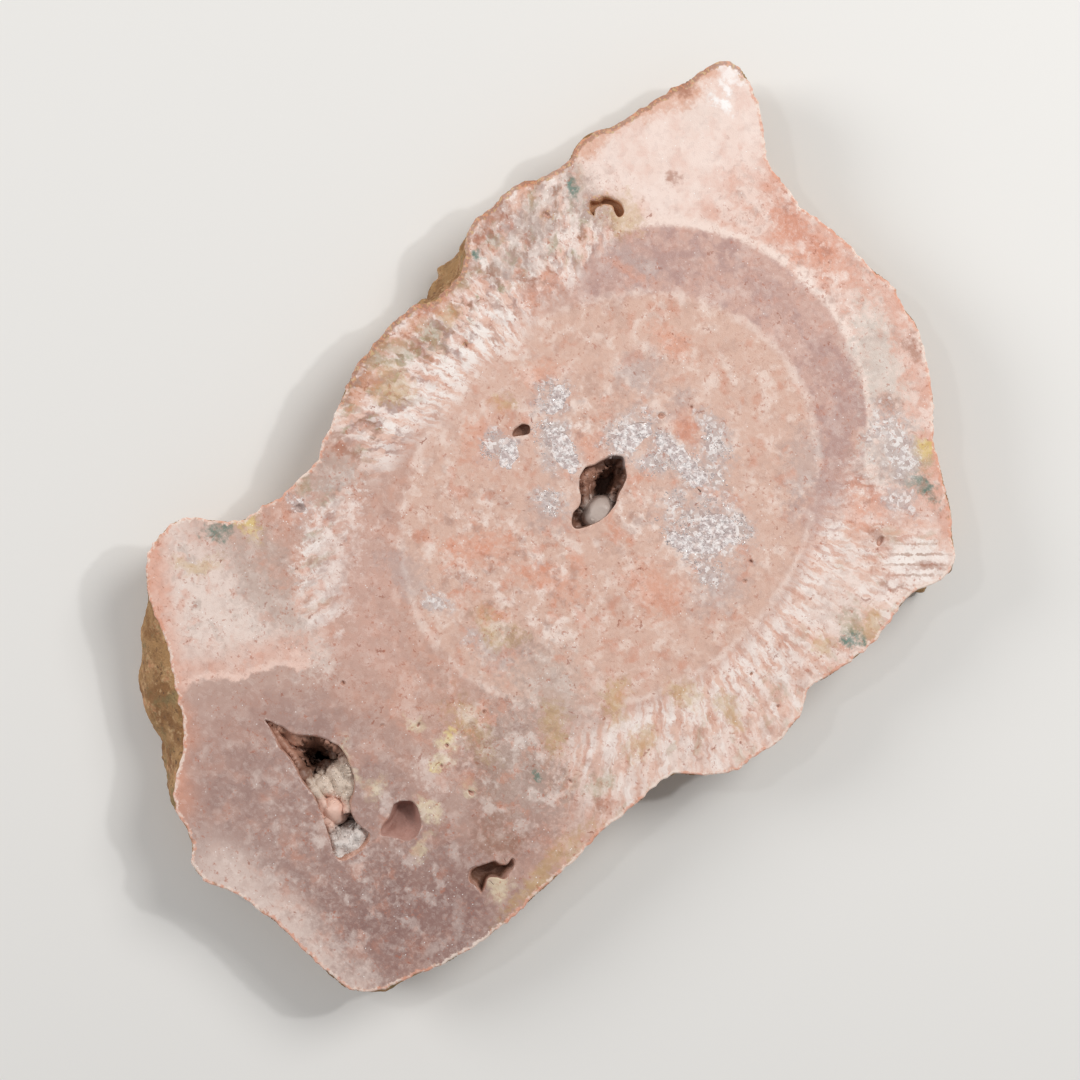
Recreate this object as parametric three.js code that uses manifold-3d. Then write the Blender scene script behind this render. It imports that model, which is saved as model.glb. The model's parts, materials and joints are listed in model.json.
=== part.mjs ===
// Pink amethyst slice: one sawn slab of banded stone with a rough natural rind, lying on its sawn back
// face. Its hollows are open on the sawn front face, and quartz crystals line most of them.
// Millimetres, +Z up, +Y along the length towards the peak. The origin is at the middle of the
// underside. The outlines are drawn clockwise, seen from above, about a point of their own, and
// DRAWING_MIDDLE moves them onto the origin.

import * as THREE from 'three';
import Module from 'manifold-3d';
import { ImprovedNoise } from 'three/addons/math/ImprovedNoise.js';
import { mergeVertices } from 'three/addons/utils/BufferGeometryUtils.js';

const wasm = await Module();
wasm.setup();

const THICKNESS = 20;
const DRAWING_MIDDLE = new THREE.Vector2(2.8, -0.25);

// Rind: the rough natural skin round the edge.
const RIM_SPACING = 3.7;
const SIDE_STEPS = 6;
const RIND_UNDERCUT = 1.8;
const RIND_LUMP = { height: 3.4, across: 13 };
const RIND_RIDGE = { height: 2.2, across: 6 };
const FLANK_ROUNDING = 2.2;

// Hollows, and the crusts that line them.
const HOLLOW_SPACING = 2.6;
const WALL_STEPS = 3;
const WALL_CURVE = 1.4;
const WALL_LUMP = { height: 0.7, across: 4 };
const OPEN_ABOVE = 1;
const CRUST_GAP = 0.3;
const CRUST_THICKNESS = 1.2;
const CRUST_DRAWN_IN = 0.16;
const SAW_CLEARANCE = 0.05;
const DRUSE_DEPTH = 2.4;
const LUMP_DETAIL = 1;

// Quartz points: six flat sides under a six-sided tip.
const CRYSTAL_SIDES = 6;
const CRYSTAL_ROOT = 0.8;
const CRYSTAL_LEAN = 0.4;
const WALL_CRYSTAL_SPACING = 4.4;

const noise = new ImprovedNoise();

// A number between two limits, the same on every run.
function between(low, high) {
  return low + (high - low) * THREE.MathUtils.seededRandom();
}

function lumpAt(x, y, z, lump) {
  return lump.height * noise.noise(x / lump.across, y / lump.across, z / lump.across);
}

// Evenly spaced points along a smooth closed curve. A third number in a point, if any, is carried along it.
function closedOutline(points, spacing) {
  const corners = points.map(([x, y, carried = 0]) => new THREE.Vector3(x, y, carried));
  const curve = new THREE.CatmullRomCurve3(corners, true, 'centripetal');
  const outline = curve.getSpacedPoints(Math.round(curve.getLength() / spacing));
  outline.pop();
  return outline;
}

// Moves each point of a clockwise ring out of its middle by its own distance.
function spread(ring, distanceAt) {
  return ring.map((point, i) => {
    const before = ring[(i + ring.length - 1) % ring.length];
    const after = ring[(i + 1) % ring.length];
    const outward = new THREE.Vector2(before.y - after.y, after.x - before.x).normalize();
    const distance = distanceAt(point, i);
    return new THREE.Vector3(point.x + outward.x * distance, point.y + outward.y * distance, point.z);
  });
}

// A closed solid through rings that each move the points of one outline, from the lowest to the highest.
function loft(outline, rings) {
  const flat = outline.map((point) => new THREE.Vector2(
    Number(point.x.toFixed(2)),
    Number(point.y.toFixed(2)),
  ));
  const settings = { depth: rings.length - 1, steps: rings.length - 1, bevelEnabled: false };
  const geometry = new THREE.ExtrudeGeometry(new THREE.Shape(flat), settings);
  const placeOf = new Map(flat.map((point, i) => [`${point.x.toFixed(2)} ${point.y.toFixed(2)}`, i]));
  const position = geometry.attributes.position;
  for (let i = 0; i < position.count; i += 1) {
    const place = placeOf.get(`${position.getX(i).toFixed(2)} ${position.getY(i).toFixed(2)}`);
    const point = rings[Math.round(position.getZ(i))][place];
    position.setXYZ(i, point.x, point.y, point.z);
  }
  return toSolid(geometry);
}

function toSolid(geometry) {
  geometry.deleteAttribute('normal');
  geometry.deleteAttribute('uv');
  const merged = mergeVertices(geometry);
  const corners = [];
  for (let i = 0; i < merged.index.count; i += 3) {
    const [a, b, c] = [merged.index.getX(i), merged.index.getX(i + 1), merged.index.getX(i + 2)];
    if (a !== b && b !== c && c !== a) {
      corners.push(a, b, c);
    }
  }
  return new wasm.Manifold(new wasm.Mesh({
    numProp: 3,
    vertProperties: merged.attributes.position.array,
    triVerts: Uint32Array.from(corners),
  }));
}

function joined(solids) {
  return solids.reduce((whole, solid) => whole.add(solid));
}

// The blank: both sawn faces and the rind, before the hollows are opened.
function sliceBlank() {
  const outline = closedOutline(FRONT_EDGE, RIM_SPACING);
  const stepHeight = THICKNESS / SIDE_STEPS;
  const rings = [];
  for (let step = -1; step <= SIDE_STEPS + 1; step += 1) {
    const height = THREE.MathUtils.clamp(step, 0, SIDE_STEPS) * stepHeight;
    const below = 1 - height / THICKNESS;
    const roughness = Math.min(1, (THICKNESS - height) / (2 * stepHeight));
    const ring = spread(outline, (point) => {
      const flank = point.z * (1 - (1 - below) ** FLANK_ROUNDING);
      const rough = lumpAt(point.x, point.y, height, RIND_LUMP) + lumpAt(point.x, point.y, height, RIND_RIDGE);
      return flank + roughness * (rough - RIND_UNDERCUT);
    });
    rings.push(ring.map((point) => new THREE.Vector3(point.x, point.y, step * stepHeight)));
  }
  return loft(outline, rings);
}

// Everything between the two saw cuts.
function sawnSlab(top) {
  const width = 400;
  const slab = new THREE.BoxGeometry(width, width, top);
  slab.translate(0, 0, top / 2);
  return toSolid(slab);
}

// One bowl of a hollow: its rim is the outline on the sawn face, and its walls lean in to a floor.
// An inset makes it smaller all round. Drawn in, it is a smaller bowl round the same middle.
function bowl({ rim, depth, middle, lean, steps = WALL_STEPS, tilt = [0, 0] }, inset, drawnIn = 0) {
  const outline = closedOutline(rim, HOLLOW_SPACING);
  const [middleX, middleY] = middle;
  const rings = [];
  for (let step = steps; step >= -1; step -= 1) {
    const down = Math.max(0, step) / steps;
    const wall = outline.map((point) => new THREE.Vector3(
      middleX + (point.x - middleX) * (1 - lean[0] * down ** WALL_CURVE) * (1 - drawnIn),
      middleY + (point.y - middleY) * (1 - lean[1] * down ** WALL_CURVE) * (1 - drawnIn),
      0,
    ));
    const roughness = 4 * down * (1 - down);
    const ring = spread(wall, (point) => roughness * lumpAt(point.x, point.y, depth * down, WALL_LUMP) - inset);
    rings.push(ring.map((point) => {
      const slope = tilt[0] * (point.x - middleX) + tilt[1] * (point.y - middleY);
      const lift = inset + (drawnIn > 0 ? CRUST_THICKNESS : 0);
      const height = THICKNESS - down * (depth - slope - lift);
      return new THREE.Vector3(point.x, point.y, step < 0 ? THICKNESS + OPEN_ABOVE : height);
    }));
  }
  return loft(outline, rings);
}

// A rounded lump of stone or crystal that stands in a hollow.
function lump({ at, size }, grown) {
  const geometry = new THREE.IcosahedronGeometry(1, LUMP_DETAIL);
  const position = geometry.attributes.position;
  for (let i = 0; i < position.count; i += 1) {
    const [x, y, z] = [position.getX(i), position.getY(i), position.getZ(i)];
    const swell = 1 + 0.2 * noise.noise(at[0] + 2 * x, at[1] + 2 * y, at[2] + 2 * z);
    position.setXYZ(
      i,
      at[0] + x * (size[0] * swell + grown),
      at[1] + y * (size[1] * swell + grown),
      at[2] + z * (size[2] * swell + grown),
    );
  }
  return toSolid(geometry);
}

function hollowSpace(hollow, inset) {
  const space = joined(hollow.bowls.map((one) => bowl(one, inset)));
  return (hollow.stone_lumps ?? []).reduce((rest, one) => rest.subtract(lump(one, inset)), space);
}

// One quartz point, from its root under the surface to its tip, standing along a direction.
function crystal(foot, direction, radius, length) {
  const profile = [
    new THREE.Vector2(0, -CRYSTAL_ROOT),
    new THREE.Vector2(radius, length * 0.3),
    new THREE.Vector2(0, length),
  ];
  const geometry = new THREE.LatheGeometry(profile, CRYSTAL_SIDES);
  geometry.rotateY(between(0, Math.PI));
  const turn = new THREE.Quaternion().setFromUnitVectors(new THREE.Vector3(0, 1, 0), direction.normalize());
  geometry.applyQuaternion(turn);
  geometry.translate(foot.x, foot.y, foot.z);
  return toSolid(geometry);
}

function leaning(direction, amount) {
  return new THREE.Vector3(
    direction.x + between(-amount, amount),
    direction.y + between(-amount, amount),
    direction.z + between(-amount, amount),
  );
}

// Crystals spread evenly over the upper side of a lump, by the golden angle.
function crystalsOnLump({ at, size }, count, radius) {
  const goldenAngle = Math.PI * (3 - Math.sqrt(5));
  const points = [];
  for (let i = 0; i < count; i += 1) {
    const height = 1 - 0.85 * ((i + 0.5) / count);
    const around = i * goldenAngle;
    const share = Math.sqrt(1 - height * height);
    const outward = new THREE.Vector3(share * Math.cos(around), share * Math.sin(around), height);
    const foot = new THREE.Vector3(
      at[0] + outward.x * size[0],
      at[1] + outward.y * size[1],
      at[2] + outward.z * size[2],
    );
    const thick = radius * between(0.75, 1.25);
    points.push(crystal(foot, leaning(outward, CRYSTAL_LEAN), thick, thick * between(1.4, 2.2)));
  }
  return points;
}

// Crystals on a bowl's walls, half way down and lower: they point in towards its middle and up.
function crystalsOnWalls(one, radius) {
  const outline = closedOutline(one.rim, radius * WALL_CRYSTAL_SPACING);
  const [middleX, middleY] = one.middle;
  return outline.map((point, i) => {
    const down = i % 2 === 0 ? 0.35 : 0.7;
    const drawnIn = (lean) => (1 - lean * down ** WALL_CURVE) * (1 - CRUST_DRAWN_IN);
    const foot = new THREE.Vector3(
      middleX + (point.x - middleX) * drawnIn(one.lean[0]),
      middleY + (point.y - middleY) * drawnIn(one.lean[1]),
      THICKNESS - one.depth * down,
    );
    const inward = new THREE.Vector3(middleX - foot.x, middleY - foot.y, 0).normalize();
    inward.z = between(0.2, 1);
    const thick = radius * between(0.8, 1.25);
    return crystal(foot, leaning(inward, CRYSTAL_LEAN), thick, thick * between(1.5, 2.4));
  });
}

// Crystals on the floor of a shallow druse, in staggered rows, with their tips just under the saw cut.
function crystalsOnFloor(one, radius) {
  const rim = closedOutline(one.rim, HOLLOW_SPACING);
  const shape = new THREE.Shape(rim.map((point) => new THREE.Vector2(point.x, point.y)));
  const box = new THREE.Box2().setFromPoints(shape.getPoints());
  const spacing = radius * 2.1;
  const points = [];
  let row = 0;
  for (let y = box.min.y + radius; y < box.max.y; y += spacing * 0.87) {
    for (let x = box.min.x + (row % 2) * spacing * 0.5; x < box.max.x; x += spacing) {
      const foot = new THREE.Vector3(x, y, THICKNESS - one.depth + CRUST_THICKNESS);
      if (isInside(foot, rim)) {
        const upright = leaning(new THREE.Vector3(0, 0, 1), CRYSTAL_LEAN);
        const thick = radius * between(0.8, 1.15);
        points.push(crystal(foot, upright, thick, one.depth - CRUST_THICKNESS + between(-0.5, 0.4)));
      }
    }
    row += 1;
  }
  return points;
}

function isInside(spot, ring) {
  let inside = false;
  for (let i = 0, j = ring.length - 1; i < ring.length; j = i, i += 1) {
    const crosses = (ring[i].y > spot.y) !== (ring[j].y > spot.y);
    const edgeX = ring[i].x + (ring[j].x - ring[i].x) * (spot.y - ring[i].y) / (ring[j].y - ring[i].y);
    if (crosses && spot.x < edgeX) {
      inside = !inside;
    }
  }
  return inside;
}

// A crust: what the crystals of one hollow stand on and the crystals, cut to what the hollow leaves free
// and to the saw cut. It lines a deep hollow, with crystals in its first bowl, and it lies on the floor
// of a shallow one.
function crust(hollow) {
  THREE.MathUtils.seededRandom(hollow.seed);
  const free = hollowSpace(hollow, CRUST_GAP);
  const grown = [];
  if (hollow.shallow) {
    const [one] = hollow.bowls;
    grown.push(free.intersect(sawnSlab(THICKNESS - one.depth + CRUST_THICKNESS)));
    grown.push(...crystalsOnFloor(one, hollow.crystal_radius));
  } else {
    grown.push(free.subtract(joined(hollow.bowls.map((one) => bowl(one, CRUST_GAP, CRUST_DRAWN_IN)))));
    grown.push(...crystalsOnWalls(hollow.bowls[0], hollow.crystal_radius));
  }
  for (const one of hollow.crystal_lumps ?? []) {
    grown.push(lump(one, 0), ...crystalsOnLump(one, one.crystals, hollow.crystal_radius));
  }
  return joined(grown).intersect(free).intersect(sawnSlab(THICKNESS - SAW_CLEARANCE));
}

function largestBody(solid) {
  return solid.decompose().reduce((best, body) => (body.volume() > best.volume() ? body : best));
}

function toMesh(solid, name, finish) {
  const mesh = solid.getMesh();
  const geometry = new THREE.BufferGeometry();
  geometry.setAttribute('position', new THREE.BufferAttribute(mesh.vertProperties, 3));
  geometry.setIndex(new THREE.BufferAttribute(mesh.triVerts, 1));
  geometry.translate(-DRAWING_MIDDLE.x, -DRAWING_MIDDLE.y, 0);
  const part = new THREE.Mesh(geometry, new THREE.MeshStandardMaterial({ metalness: 0, ...finish }));
  part.name = name;
  return part;
}

// Sawn front edge, in stretches. The third number is how far the rind behind stands out past it.
const TOP_EDGE = [
  [-56, 115], [-53.5, 119], [-50, 119.2], [-45, 118], [-40, 115.3], [-35, 112], [-29, 107], [-25, 106.8],
  [-20, 105.8], [-15, 105], [-10, 106], [-5, 107.2], [0, 107], [5, 106.7], [12, 107.7], [15, 107.6],
  [20, 105.8], [25, 105.3], [29, 103.5], [36, 98.7], [40, 96.5], [43, 94], [46.5, 90.7], [49, 87.6],
  [54, 85], [60, 81.3], [64, 79], [68, 75.5], [72, 72.3], [75, 69.8],
];
const RIGHT_EDGE = [
  [75.5, 66], [74.8, 62, 1], [72.7, 56.8, 2], [73, 52, 1], [74, 47], [74.6, 42], [74.2, 36], [73, 29],
  [72.5, 25.5], [70.5, 23.3], [71, 20.8], [74, 17], [75, 12], [75.7, 7], [74.5, 3], [73.3, -1],
  [73.3, -5.5], [71, -8.3], [68.5, -11], [67, -14], [64.5, -15.3], [62, -18.5], [61, -23], [62, -26],
  [61, -31], [60.3, -36], [60, -45], [60, -56], [59.5, -66], [59, -75], [57.5, -84], [55.8, -91],
  [53, -97], [51, -103, 1], [49.5, -107, 2],
];
const BOTTOM_EDGE = [
  [46, -111, 1], [42, -113.5], [36, -113.6], [28, -114], [20, -114], [13, -115], [6, -115.8], [1, -118.5],
  [-3, -119.5, 1], [-7, -118.5, 2], [-9.5, -115.5, 4], [-14, -113, 4], [-19, -112.2, 4], [-21.5, -110.5, 5],
];
const NATURAL_SKIN = [
  [-25, -106, 7], [-29, -99.5, 9], [-33, -95.5, 11], [-38, -92, 12.5], [-44, -88, 12], [-51, -83.5, 9.5],
  [-57, -80.8, 7], [-62, -79, 3.5],
];
const LEFT_EDGE = [
  [-65, -76.5, 1], [-68, -73.5], [-69.8, -70], [-70.5, -66], [-70.8, -62], [-70, -59.5], [-67, -56.5],
  [-64, -54], [-60.5, -51], [-58, -48], [-57.8, -44], [-57, -40.5], [-55.5, -37.5], [-56, -34],
  [-55.5, -29], [-56, -24.5], [-58.5, -20], [-60.5, -14.5], [-62.5, -10], [-64.5, -5], [-66, 0],
  [-66.3, 5], [-67, 10], [-66.8, 15], [-66, 20, 1], [-63.6, 24, 5], [-62.8, 29, 7], [-63.4, 34, 7],
  [-66.5, 37.5, 5], [-69.8, 42, 1], [-70.3, 46], [-69.8, 50], [-70.2, 54.5], [-69, 60], [-66.5, 64],
  [-65, 69], [-63.6, 71], [-65, 73], [-66.2, 78], [-65, 82], [-62, 88], [-60.7, 95], [-59, 102],
  [-57.5, 109],
];
const FRONT_EDGE = [...TOP_EDGE, ...RIGHT_EDGE, ...BOTTOM_EDGE, ...NATURAL_SKIN, ...LEFT_EDGE];

// The deep hollow in the lower lobe: a long pit with a tail, and lumps that stand up in it.
const LOWER_HOLLOW = {
  seed: 11,
  crystal_radius: 1.6,
  bowls: [{
    rim: [
      [-12.5, -77.9], [-10.5, -76.8], [-8.5, -74.6], [-6, -73], [-3.5, -72.1], [-1, -71.6], [2, -72.4],
      [6, -74], [9, -76.6], [11, -80.3], [14, -81.8], [17, -82.2], [19.3, -81], [20.8, -84], [20.6, -88],
      [19.3, -91.5], [16.8, -92], [14.5, -90.5], [11, -88.7], [7, -86.6], [2.5, -85], [-2, -84.4],
      [-6, -83], [-9, -82.4], [-13, -82],
    ],
    depth: 16.5,
    middle: [-0.5, -79.5],
    lean: [0.62, 0.2],
  }, {
    rim: [
      [-19.8, -80.2], [-17, -78.8], [-14, -77.9], [-11, -77.6], [-8, -79], [-8, -81.8], [-12, -82.4],
      [-15, -81.4], [-18, -80.6],
    ],
    depth: 6,
    middle: [-10, -80],
    lean: [0.5, 0.4],
  }],
  stone_lumps: [{ at: [8.3, -84.8, 10.5], size: [3.9, 3.8, 8.2] }],
  crystal_lumps: [
    { at: [5.4, -77.6, 8], size: [5.4, 5, 9], crystals: 9 },
    { at: [2.8, -81, 7], size: [3, 2.8, 7], crystals: 4 },
    { at: [18, -87.3, 8.5], size: [3.2, 4.6, 9], crystals: 8 },
  ],
};

// The hollow in the middle of the pattern: a wide head, a narrow foot, and a smooth lump beside it.
const MIDDLE_HOLLOW = {
  seed: 12,
  crystal_radius: 1.2,
  bowls: [{
    rim: [
      [-7.6, 21.3], [-6.3, 22.8], [-5.8, 24.5], [-5.2, 26.5], [-4.7, 28.3], [-2.4, 30], [-0.3, 28.4],
      [2.2, 26.4], [2.9, 23.3], [4.7, 20], [5.1, 17], [4.6, 13.5], [3.2, 10.4], [1.2, 7.8], [-1.4, 10.8],
      [-1.3, 13], [-2.8, 15.2], [-5, 16.6], [-7, 18.8],
    ],
    depth: 14,
    middle: [-0.8, 21.5],
    lean: [0.3, 0.3],
  }],
  stone_lumps: [{ at: [3.1, 15.5, 10.5], size: [2.9, 4.3, 8.6] }],
};

// Hollows with bare walls.
const SIDE_POCKET = {
  bowls: [{
    rim: [
      [18, -71.8], [20, -69.2], [22.3, -67.7], [24, -69.3], [26.8, -70.5], [27.6, -72.5], [28.4, -74.3],
      [27.8, -76], [26, -77.3], [24, -77.9], [21.6, -80.2], [20.3, -79.6], [20.1, -76], [19, -73.6],
    ],
    depth: 4.6,
    middle: [21.4, -72.4],
    lean: [0.4, 0.4],
    tilt: [0.35, -0.1],
  }],
};
const SMALL_HOLE = {
  bowls: [{
    rim: [
      [-26.4, 17.6], [-25, 19.3], [-23.8, 18.3], [-22.5, 17], [-24, 15.7], [-26.2, 13.2], [-27.1, 14.3],
      [-26.3, 15.6],
    ],
    depth: 9,
    middle: [-25.3, 16.6],
    lean: [0.3, 0.3],
  }],
};
const UPPER_POCKET = {
  bowls: [{
    rim: [
      [-53.8, 69.2], [-53.2, 70.2], [-52.4, 70.2], [-51.8, 71.6], [-52.6, 72.2], [-51, 72.8], [-49, 74.2],
      [-46.5, 74.2], [-45, 72.8], [-45.4, 71], [-46.2, 70.2], [-47.4, 72], [-49.6, 72.4], [-50.6, 71.2],
      [-51.4, 69], [-50, 67.8], [-49.8, 67.2], [-51, 66.6], [-52.4, 67.6],
    ],
    depth: 3.4,
    middle: [-48.6, 71.6],
    lean: [0.12, 0.12],
  }],
};
const RIGHT_POCKET = {
  bowls: [{
    rim: [
      [43.4, -71], [43.6, -69], [45, -67], [46, -65], [46.4, -63.4], [48.4, -64.4], [49.4, -63],
      [48.4, -61], [49.2, -60.2], [50.6, -61.4], [50.6, -63], [51.6, -64.6], [51.2, -66.2], [49.6, -66.8],
      [47.8, -67.8], [48.4, -70], [50.4, -72], [49.6, -72.8], [47.6, -72.2], [45.4, -72.6], [44.2, -72.4],
    ],
    depth: 5.5,
    middle: [46.2, -69.4],
    lean: [0.3, 0.3],
  }],
};

// Shallow druses round the middle: fields of quartz points that the saw just opened.
function druse(seed, rim) {
  const box = new THREE.Box2().setFromPoints(rim.map(([x, y]) => new THREE.Vector2(x, y)));
  const middle = box.getCenter(new THREE.Vector2()).toArray();
  const floor = { rim, depth: DRUSE_DEPTH, middle, lean: [0.1, 0.1], steps: 1 };
  return { seed, crystal_radius: 1.35, shallow: true, bowls: [floor] };
}

const RIGHT_DRUSE = druse(21, [
  [22.2, 33], [24, 36], [28, 37.6], [30.5, 36.5], [31.4, 32], [30.4, 28], [28, 26.6], [26.6, 24.8],
  [24, 23.4], [20.5, 22.8], [18, 24], [20, 25.8], [23.6, 26.8], [25, 29.4], [23.4, 31],
]);
const UPPER_DRUSE = druse(22, [
  [-0.4, 38.8], [1.4, 41.4], [5, 40.8], [8.6, 41.8], [12, 40.4], [15, 42], [16.8, 40], [15.6, 37.4],
  [12.6, 37.2], [9.4, 38], [5, 38.2], [1.4, 37.8],
]);
const UPPER_LEFT_DRUSE = druse(23, [
  [-7.4, 33.4], [-6.6, 37], [-4, 40], [-1.6, 39.6], [-2.2, 36], [-2, 33], [-3, 31.2], [-5.8, 29.4],
  [-6.8, 30.6],
]);
const LEFT_DRUSE = druse(24, [
  [-20.4, 21.4], [-17, 23.6], [-14, 23], [-11.6, 21.4], [-8.6, 20.6], [-8.8, 18.6], [-12, 17.2],
  [-15, 17.6], [-17, 19.6],
]);
const OUTER_DRUSE = druse(25, [
  [-27, 31], [-25.4, 32], [-23, 30.4], [-22, 28], [-22.4, 24.6], [-23.8, 23.6], [-24.8, 26], [-26.4, 28.4],
]);
const LOWER_LEFT_DRUSE = druse(26, [
  [-27.4, 11.6], [-24, 12.6], [-21.6, 12], [-20.6, 9.8], [-21.6, 6.6], [-23, 6], [-24.4, 8.2], [-25.4, 10],
]);

const CRUSTED = {
  lower_hollow_crust: LOWER_HOLLOW,
  middle_hollow_crust: MIDDLE_HOLLOW,
  right_druse_crust: RIGHT_DRUSE,
  upper_druse_crust: UPPER_DRUSE,
  upper_left_druse_crust: UPPER_LEFT_DRUSE,
  left_druse_crust: LEFT_DRUSE,
  outer_druse_crust: OUTER_DRUSE,
  lower_left_druse_crust: LOWER_LEFT_DRUSE,
};
const BARE = [SIDE_POCKET, SMALL_HOLE, UPPER_POCKET, RIGHT_POCKET];

const STONE = { color: 0xc9a79b, roughness: 0.42 };
const DRUSE = { color: 0xd9cfca, roughness: 0.15 };
const DARK_DRUSE = { color: 0x7d6257, roughness: 0.3 };

const object = new THREE.Group();
const hollows = [...Object.values(CRUSTED), ...BARE].map((hollow) => hollowSpace(hollow, 0));
const stone = sliceBlank().intersect(sawnSlab(THICKNESS)).subtract(joined(hollows));
object.add(toMesh(largestBody(stone), 'slice', STONE));
for (const [name, hollow] of Object.entries(CRUSTED)) {
  object.add(toMesh(largestBody(crust(hollow)), name, hollow.shallow ? DRUSE : DARK_DRUSE));
}

export default object;
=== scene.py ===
# %% [markdown]
# # A pink amethyst slice
#
# The object is one sawn slab of stone, about 240 mm long, 147 mm wide and 20 mm thick. It lies on its
# sawn back face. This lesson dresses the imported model: it makes the rough rind and the hollows finer,
# grows quartz points in the hollows, and gives the sawn face its bands, fibres and stains.
# Everything is in metres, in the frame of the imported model. Vector noise is seeded, because Blender
# seeds it from the clock otherwise, and the slice has to come out the same each time.

import json
import math
import random

import bmesh
import bpy
from mathutils import Matrix, Vector, noise
from mathutils.bvhtree import BVHTree
from mathutils.geometry import delaunay_2d_cdt
from mathutils.kdtree import KDTree

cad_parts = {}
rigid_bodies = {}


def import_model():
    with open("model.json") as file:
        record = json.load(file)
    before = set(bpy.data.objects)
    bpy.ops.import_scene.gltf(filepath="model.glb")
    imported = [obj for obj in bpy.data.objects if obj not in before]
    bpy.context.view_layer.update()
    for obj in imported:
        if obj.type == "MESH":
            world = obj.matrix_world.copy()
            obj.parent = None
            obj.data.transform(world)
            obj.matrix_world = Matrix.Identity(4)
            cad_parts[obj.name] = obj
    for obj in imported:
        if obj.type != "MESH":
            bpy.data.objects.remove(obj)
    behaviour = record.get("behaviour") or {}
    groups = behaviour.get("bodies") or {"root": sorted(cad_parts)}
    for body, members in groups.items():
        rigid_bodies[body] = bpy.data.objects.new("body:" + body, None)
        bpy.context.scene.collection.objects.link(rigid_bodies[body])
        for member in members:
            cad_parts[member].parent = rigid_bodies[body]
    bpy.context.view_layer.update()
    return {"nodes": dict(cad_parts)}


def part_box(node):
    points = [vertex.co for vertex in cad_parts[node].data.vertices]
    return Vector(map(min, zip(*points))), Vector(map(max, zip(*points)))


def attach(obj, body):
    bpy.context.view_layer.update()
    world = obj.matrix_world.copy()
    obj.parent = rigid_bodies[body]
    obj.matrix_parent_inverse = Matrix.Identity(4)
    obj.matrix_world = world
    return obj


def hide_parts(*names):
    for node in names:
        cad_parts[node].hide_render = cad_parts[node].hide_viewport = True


for left_over in list(bpy.data.objects):
    bpy.data.objects.remove(left_over)
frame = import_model()
MM = 0.001
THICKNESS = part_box("slice")[1].z
NOISE_SEED = 5
noise.seed_set(NOISE_SEED)
print("nodes:", sorted(frame["nodes"]))

# %% [markdown]
# The slice was drawn in millimetres about a point near its middle. The pattern on its face uses the
# same drawing, so a band or a stain is placed by reading the drawing. The drawing's origin is a little
# off the middle of the slice, so one helper moves drawn points to where they are in the model.

# %% Places on the drawing
DRAWING_MIDDLE = Vector((2.8, -0.25, 0.0))


def drawn(x, y, z=0.0):
    return (Vector((x, y, z)) - DRAWING_MIDDLE) * MM


print("drawing origin is at", tuple(round(c, 5) for c in drawn(0, 0)))

# %% [markdown]
# ## Stage
#
# The slice lies on a plain pale floor. The camera looks straight down on the sawn face, and it is turned
# 45 degrees, so that the slice stands with its pointed corner at the top.

# %% Floor
FLOOR_SIZE = 6.0
PAPER, PAPER_ROUGHNESS = (0.80, 0.79, 0.77, 1.0), 0.8

paper = bpy.data.materials.new("floor_paper")
paper.use_nodes = True
paper_shader = paper.node_tree.nodes["Principled BSDF"]
paper_shader.inputs["Base Color"].default_value = PAPER
paper_shader.inputs["Roughness"].default_value = PAPER_ROUGHNESS
floor_mesh = bpy.data.meshes.new("floor")
sheet = bmesh.new()
bmesh.ops.create_grid(sheet, x_segments=1, y_segments=1, size=FLOOR_SIZE / 2)
sheet.to_mesh(floor_mesh)
sheet.free()
floor = bpy.data.objects.new("floor", floor_mesh)
bpy.context.collection.objects.link(floor)
floor.data.materials.append(paper)
print("floor", FLOOR_SIZE, "m square")

# %% [markdown]
# Two soft boxes light the slab from behind and from the left, as a window and a reflector would. Soft
# light alone leaves quartz dull, so two small lamps are there for its facets to catch.

# %% Lights
# Each row is a name, a place, a size across, watts and a colour.
SKY_LIGHT = 0.3
LAMPS = [
    ("key_softbox", (0.10, 0.95, 0.95), 0.60, 8.7, (1.0, 0.985, 0.96)),
    ("left_softbox", (-0.95, -0.45, 0.65), 0.60, 5.6, (1.0, 0.99, 0.98)),
    ("small_lamp", (0.25, 0.60, 0.70), 0.05, 1.6, (1.0, 1.0, 1.0)),
    ("left_lamp", (-0.40, -0.10, 0.85), 0.05, 0.45, (1.0, 1.0, 1.0)),
]
for name, spot, size, watts, tint in LAMPS:
    lamp = bpy.data.lights.new(name, "AREA")
    lamp.shape = "DISK"
    lamp.size = size
    lamp.energy = watts
    lamp.color = tint
    holder = bpy.data.objects.new(name, lamp)
    holder.location = spot
    holder.rotation_euler = (-Vector(spot)).to_track_quat("-Z", "Y").to_euler()
    bpy.context.collection.objects.link(holder)
world = bpy.data.worlds.new("studio")
world.use_nodes = True
world.node_tree.nodes["Background"].inputs["Color"].default_value = (1.0, 1.0, 1.0, 1.0)
world.node_tree.nodes["Background"].inputs["Strength"].default_value = SKY_LIGHT
bpy.context.scene.world = world
bpy.context.scene.view_settings.view_transform = "Standard"
print("lights:", [row[0] for row in LAMPS])

# %% [markdown]
# The camera looks straight down. Its height follows from the width that it has to see and its lens.

# %% Camera
VIEW_MIDDLE = drawn(-2.5, 0.35)
VIEW_WIDTH = 270 * MM
VIEW_TURN = math.radians(45)
LENS = 85.0
SENSOR = 36.0
camera = bpy.data.objects.new("camera", bpy.data.cameras.new("camera"))
camera.data.lens = LENS
camera.data.sensor_width = SENSOR
camera.location = VIEW_MIDDLE + Vector((0, 0, THICKNESS + VIEW_WIDTH * LENS / SENSOR))
camera.rotation_euler = (0.0, 0.0, VIEW_TURN)
bpy.context.collection.objects.link(camera)
bpy.context.scene.camera = camera
print("camera is", round(camera.location.z, 3), "m up")

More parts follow.
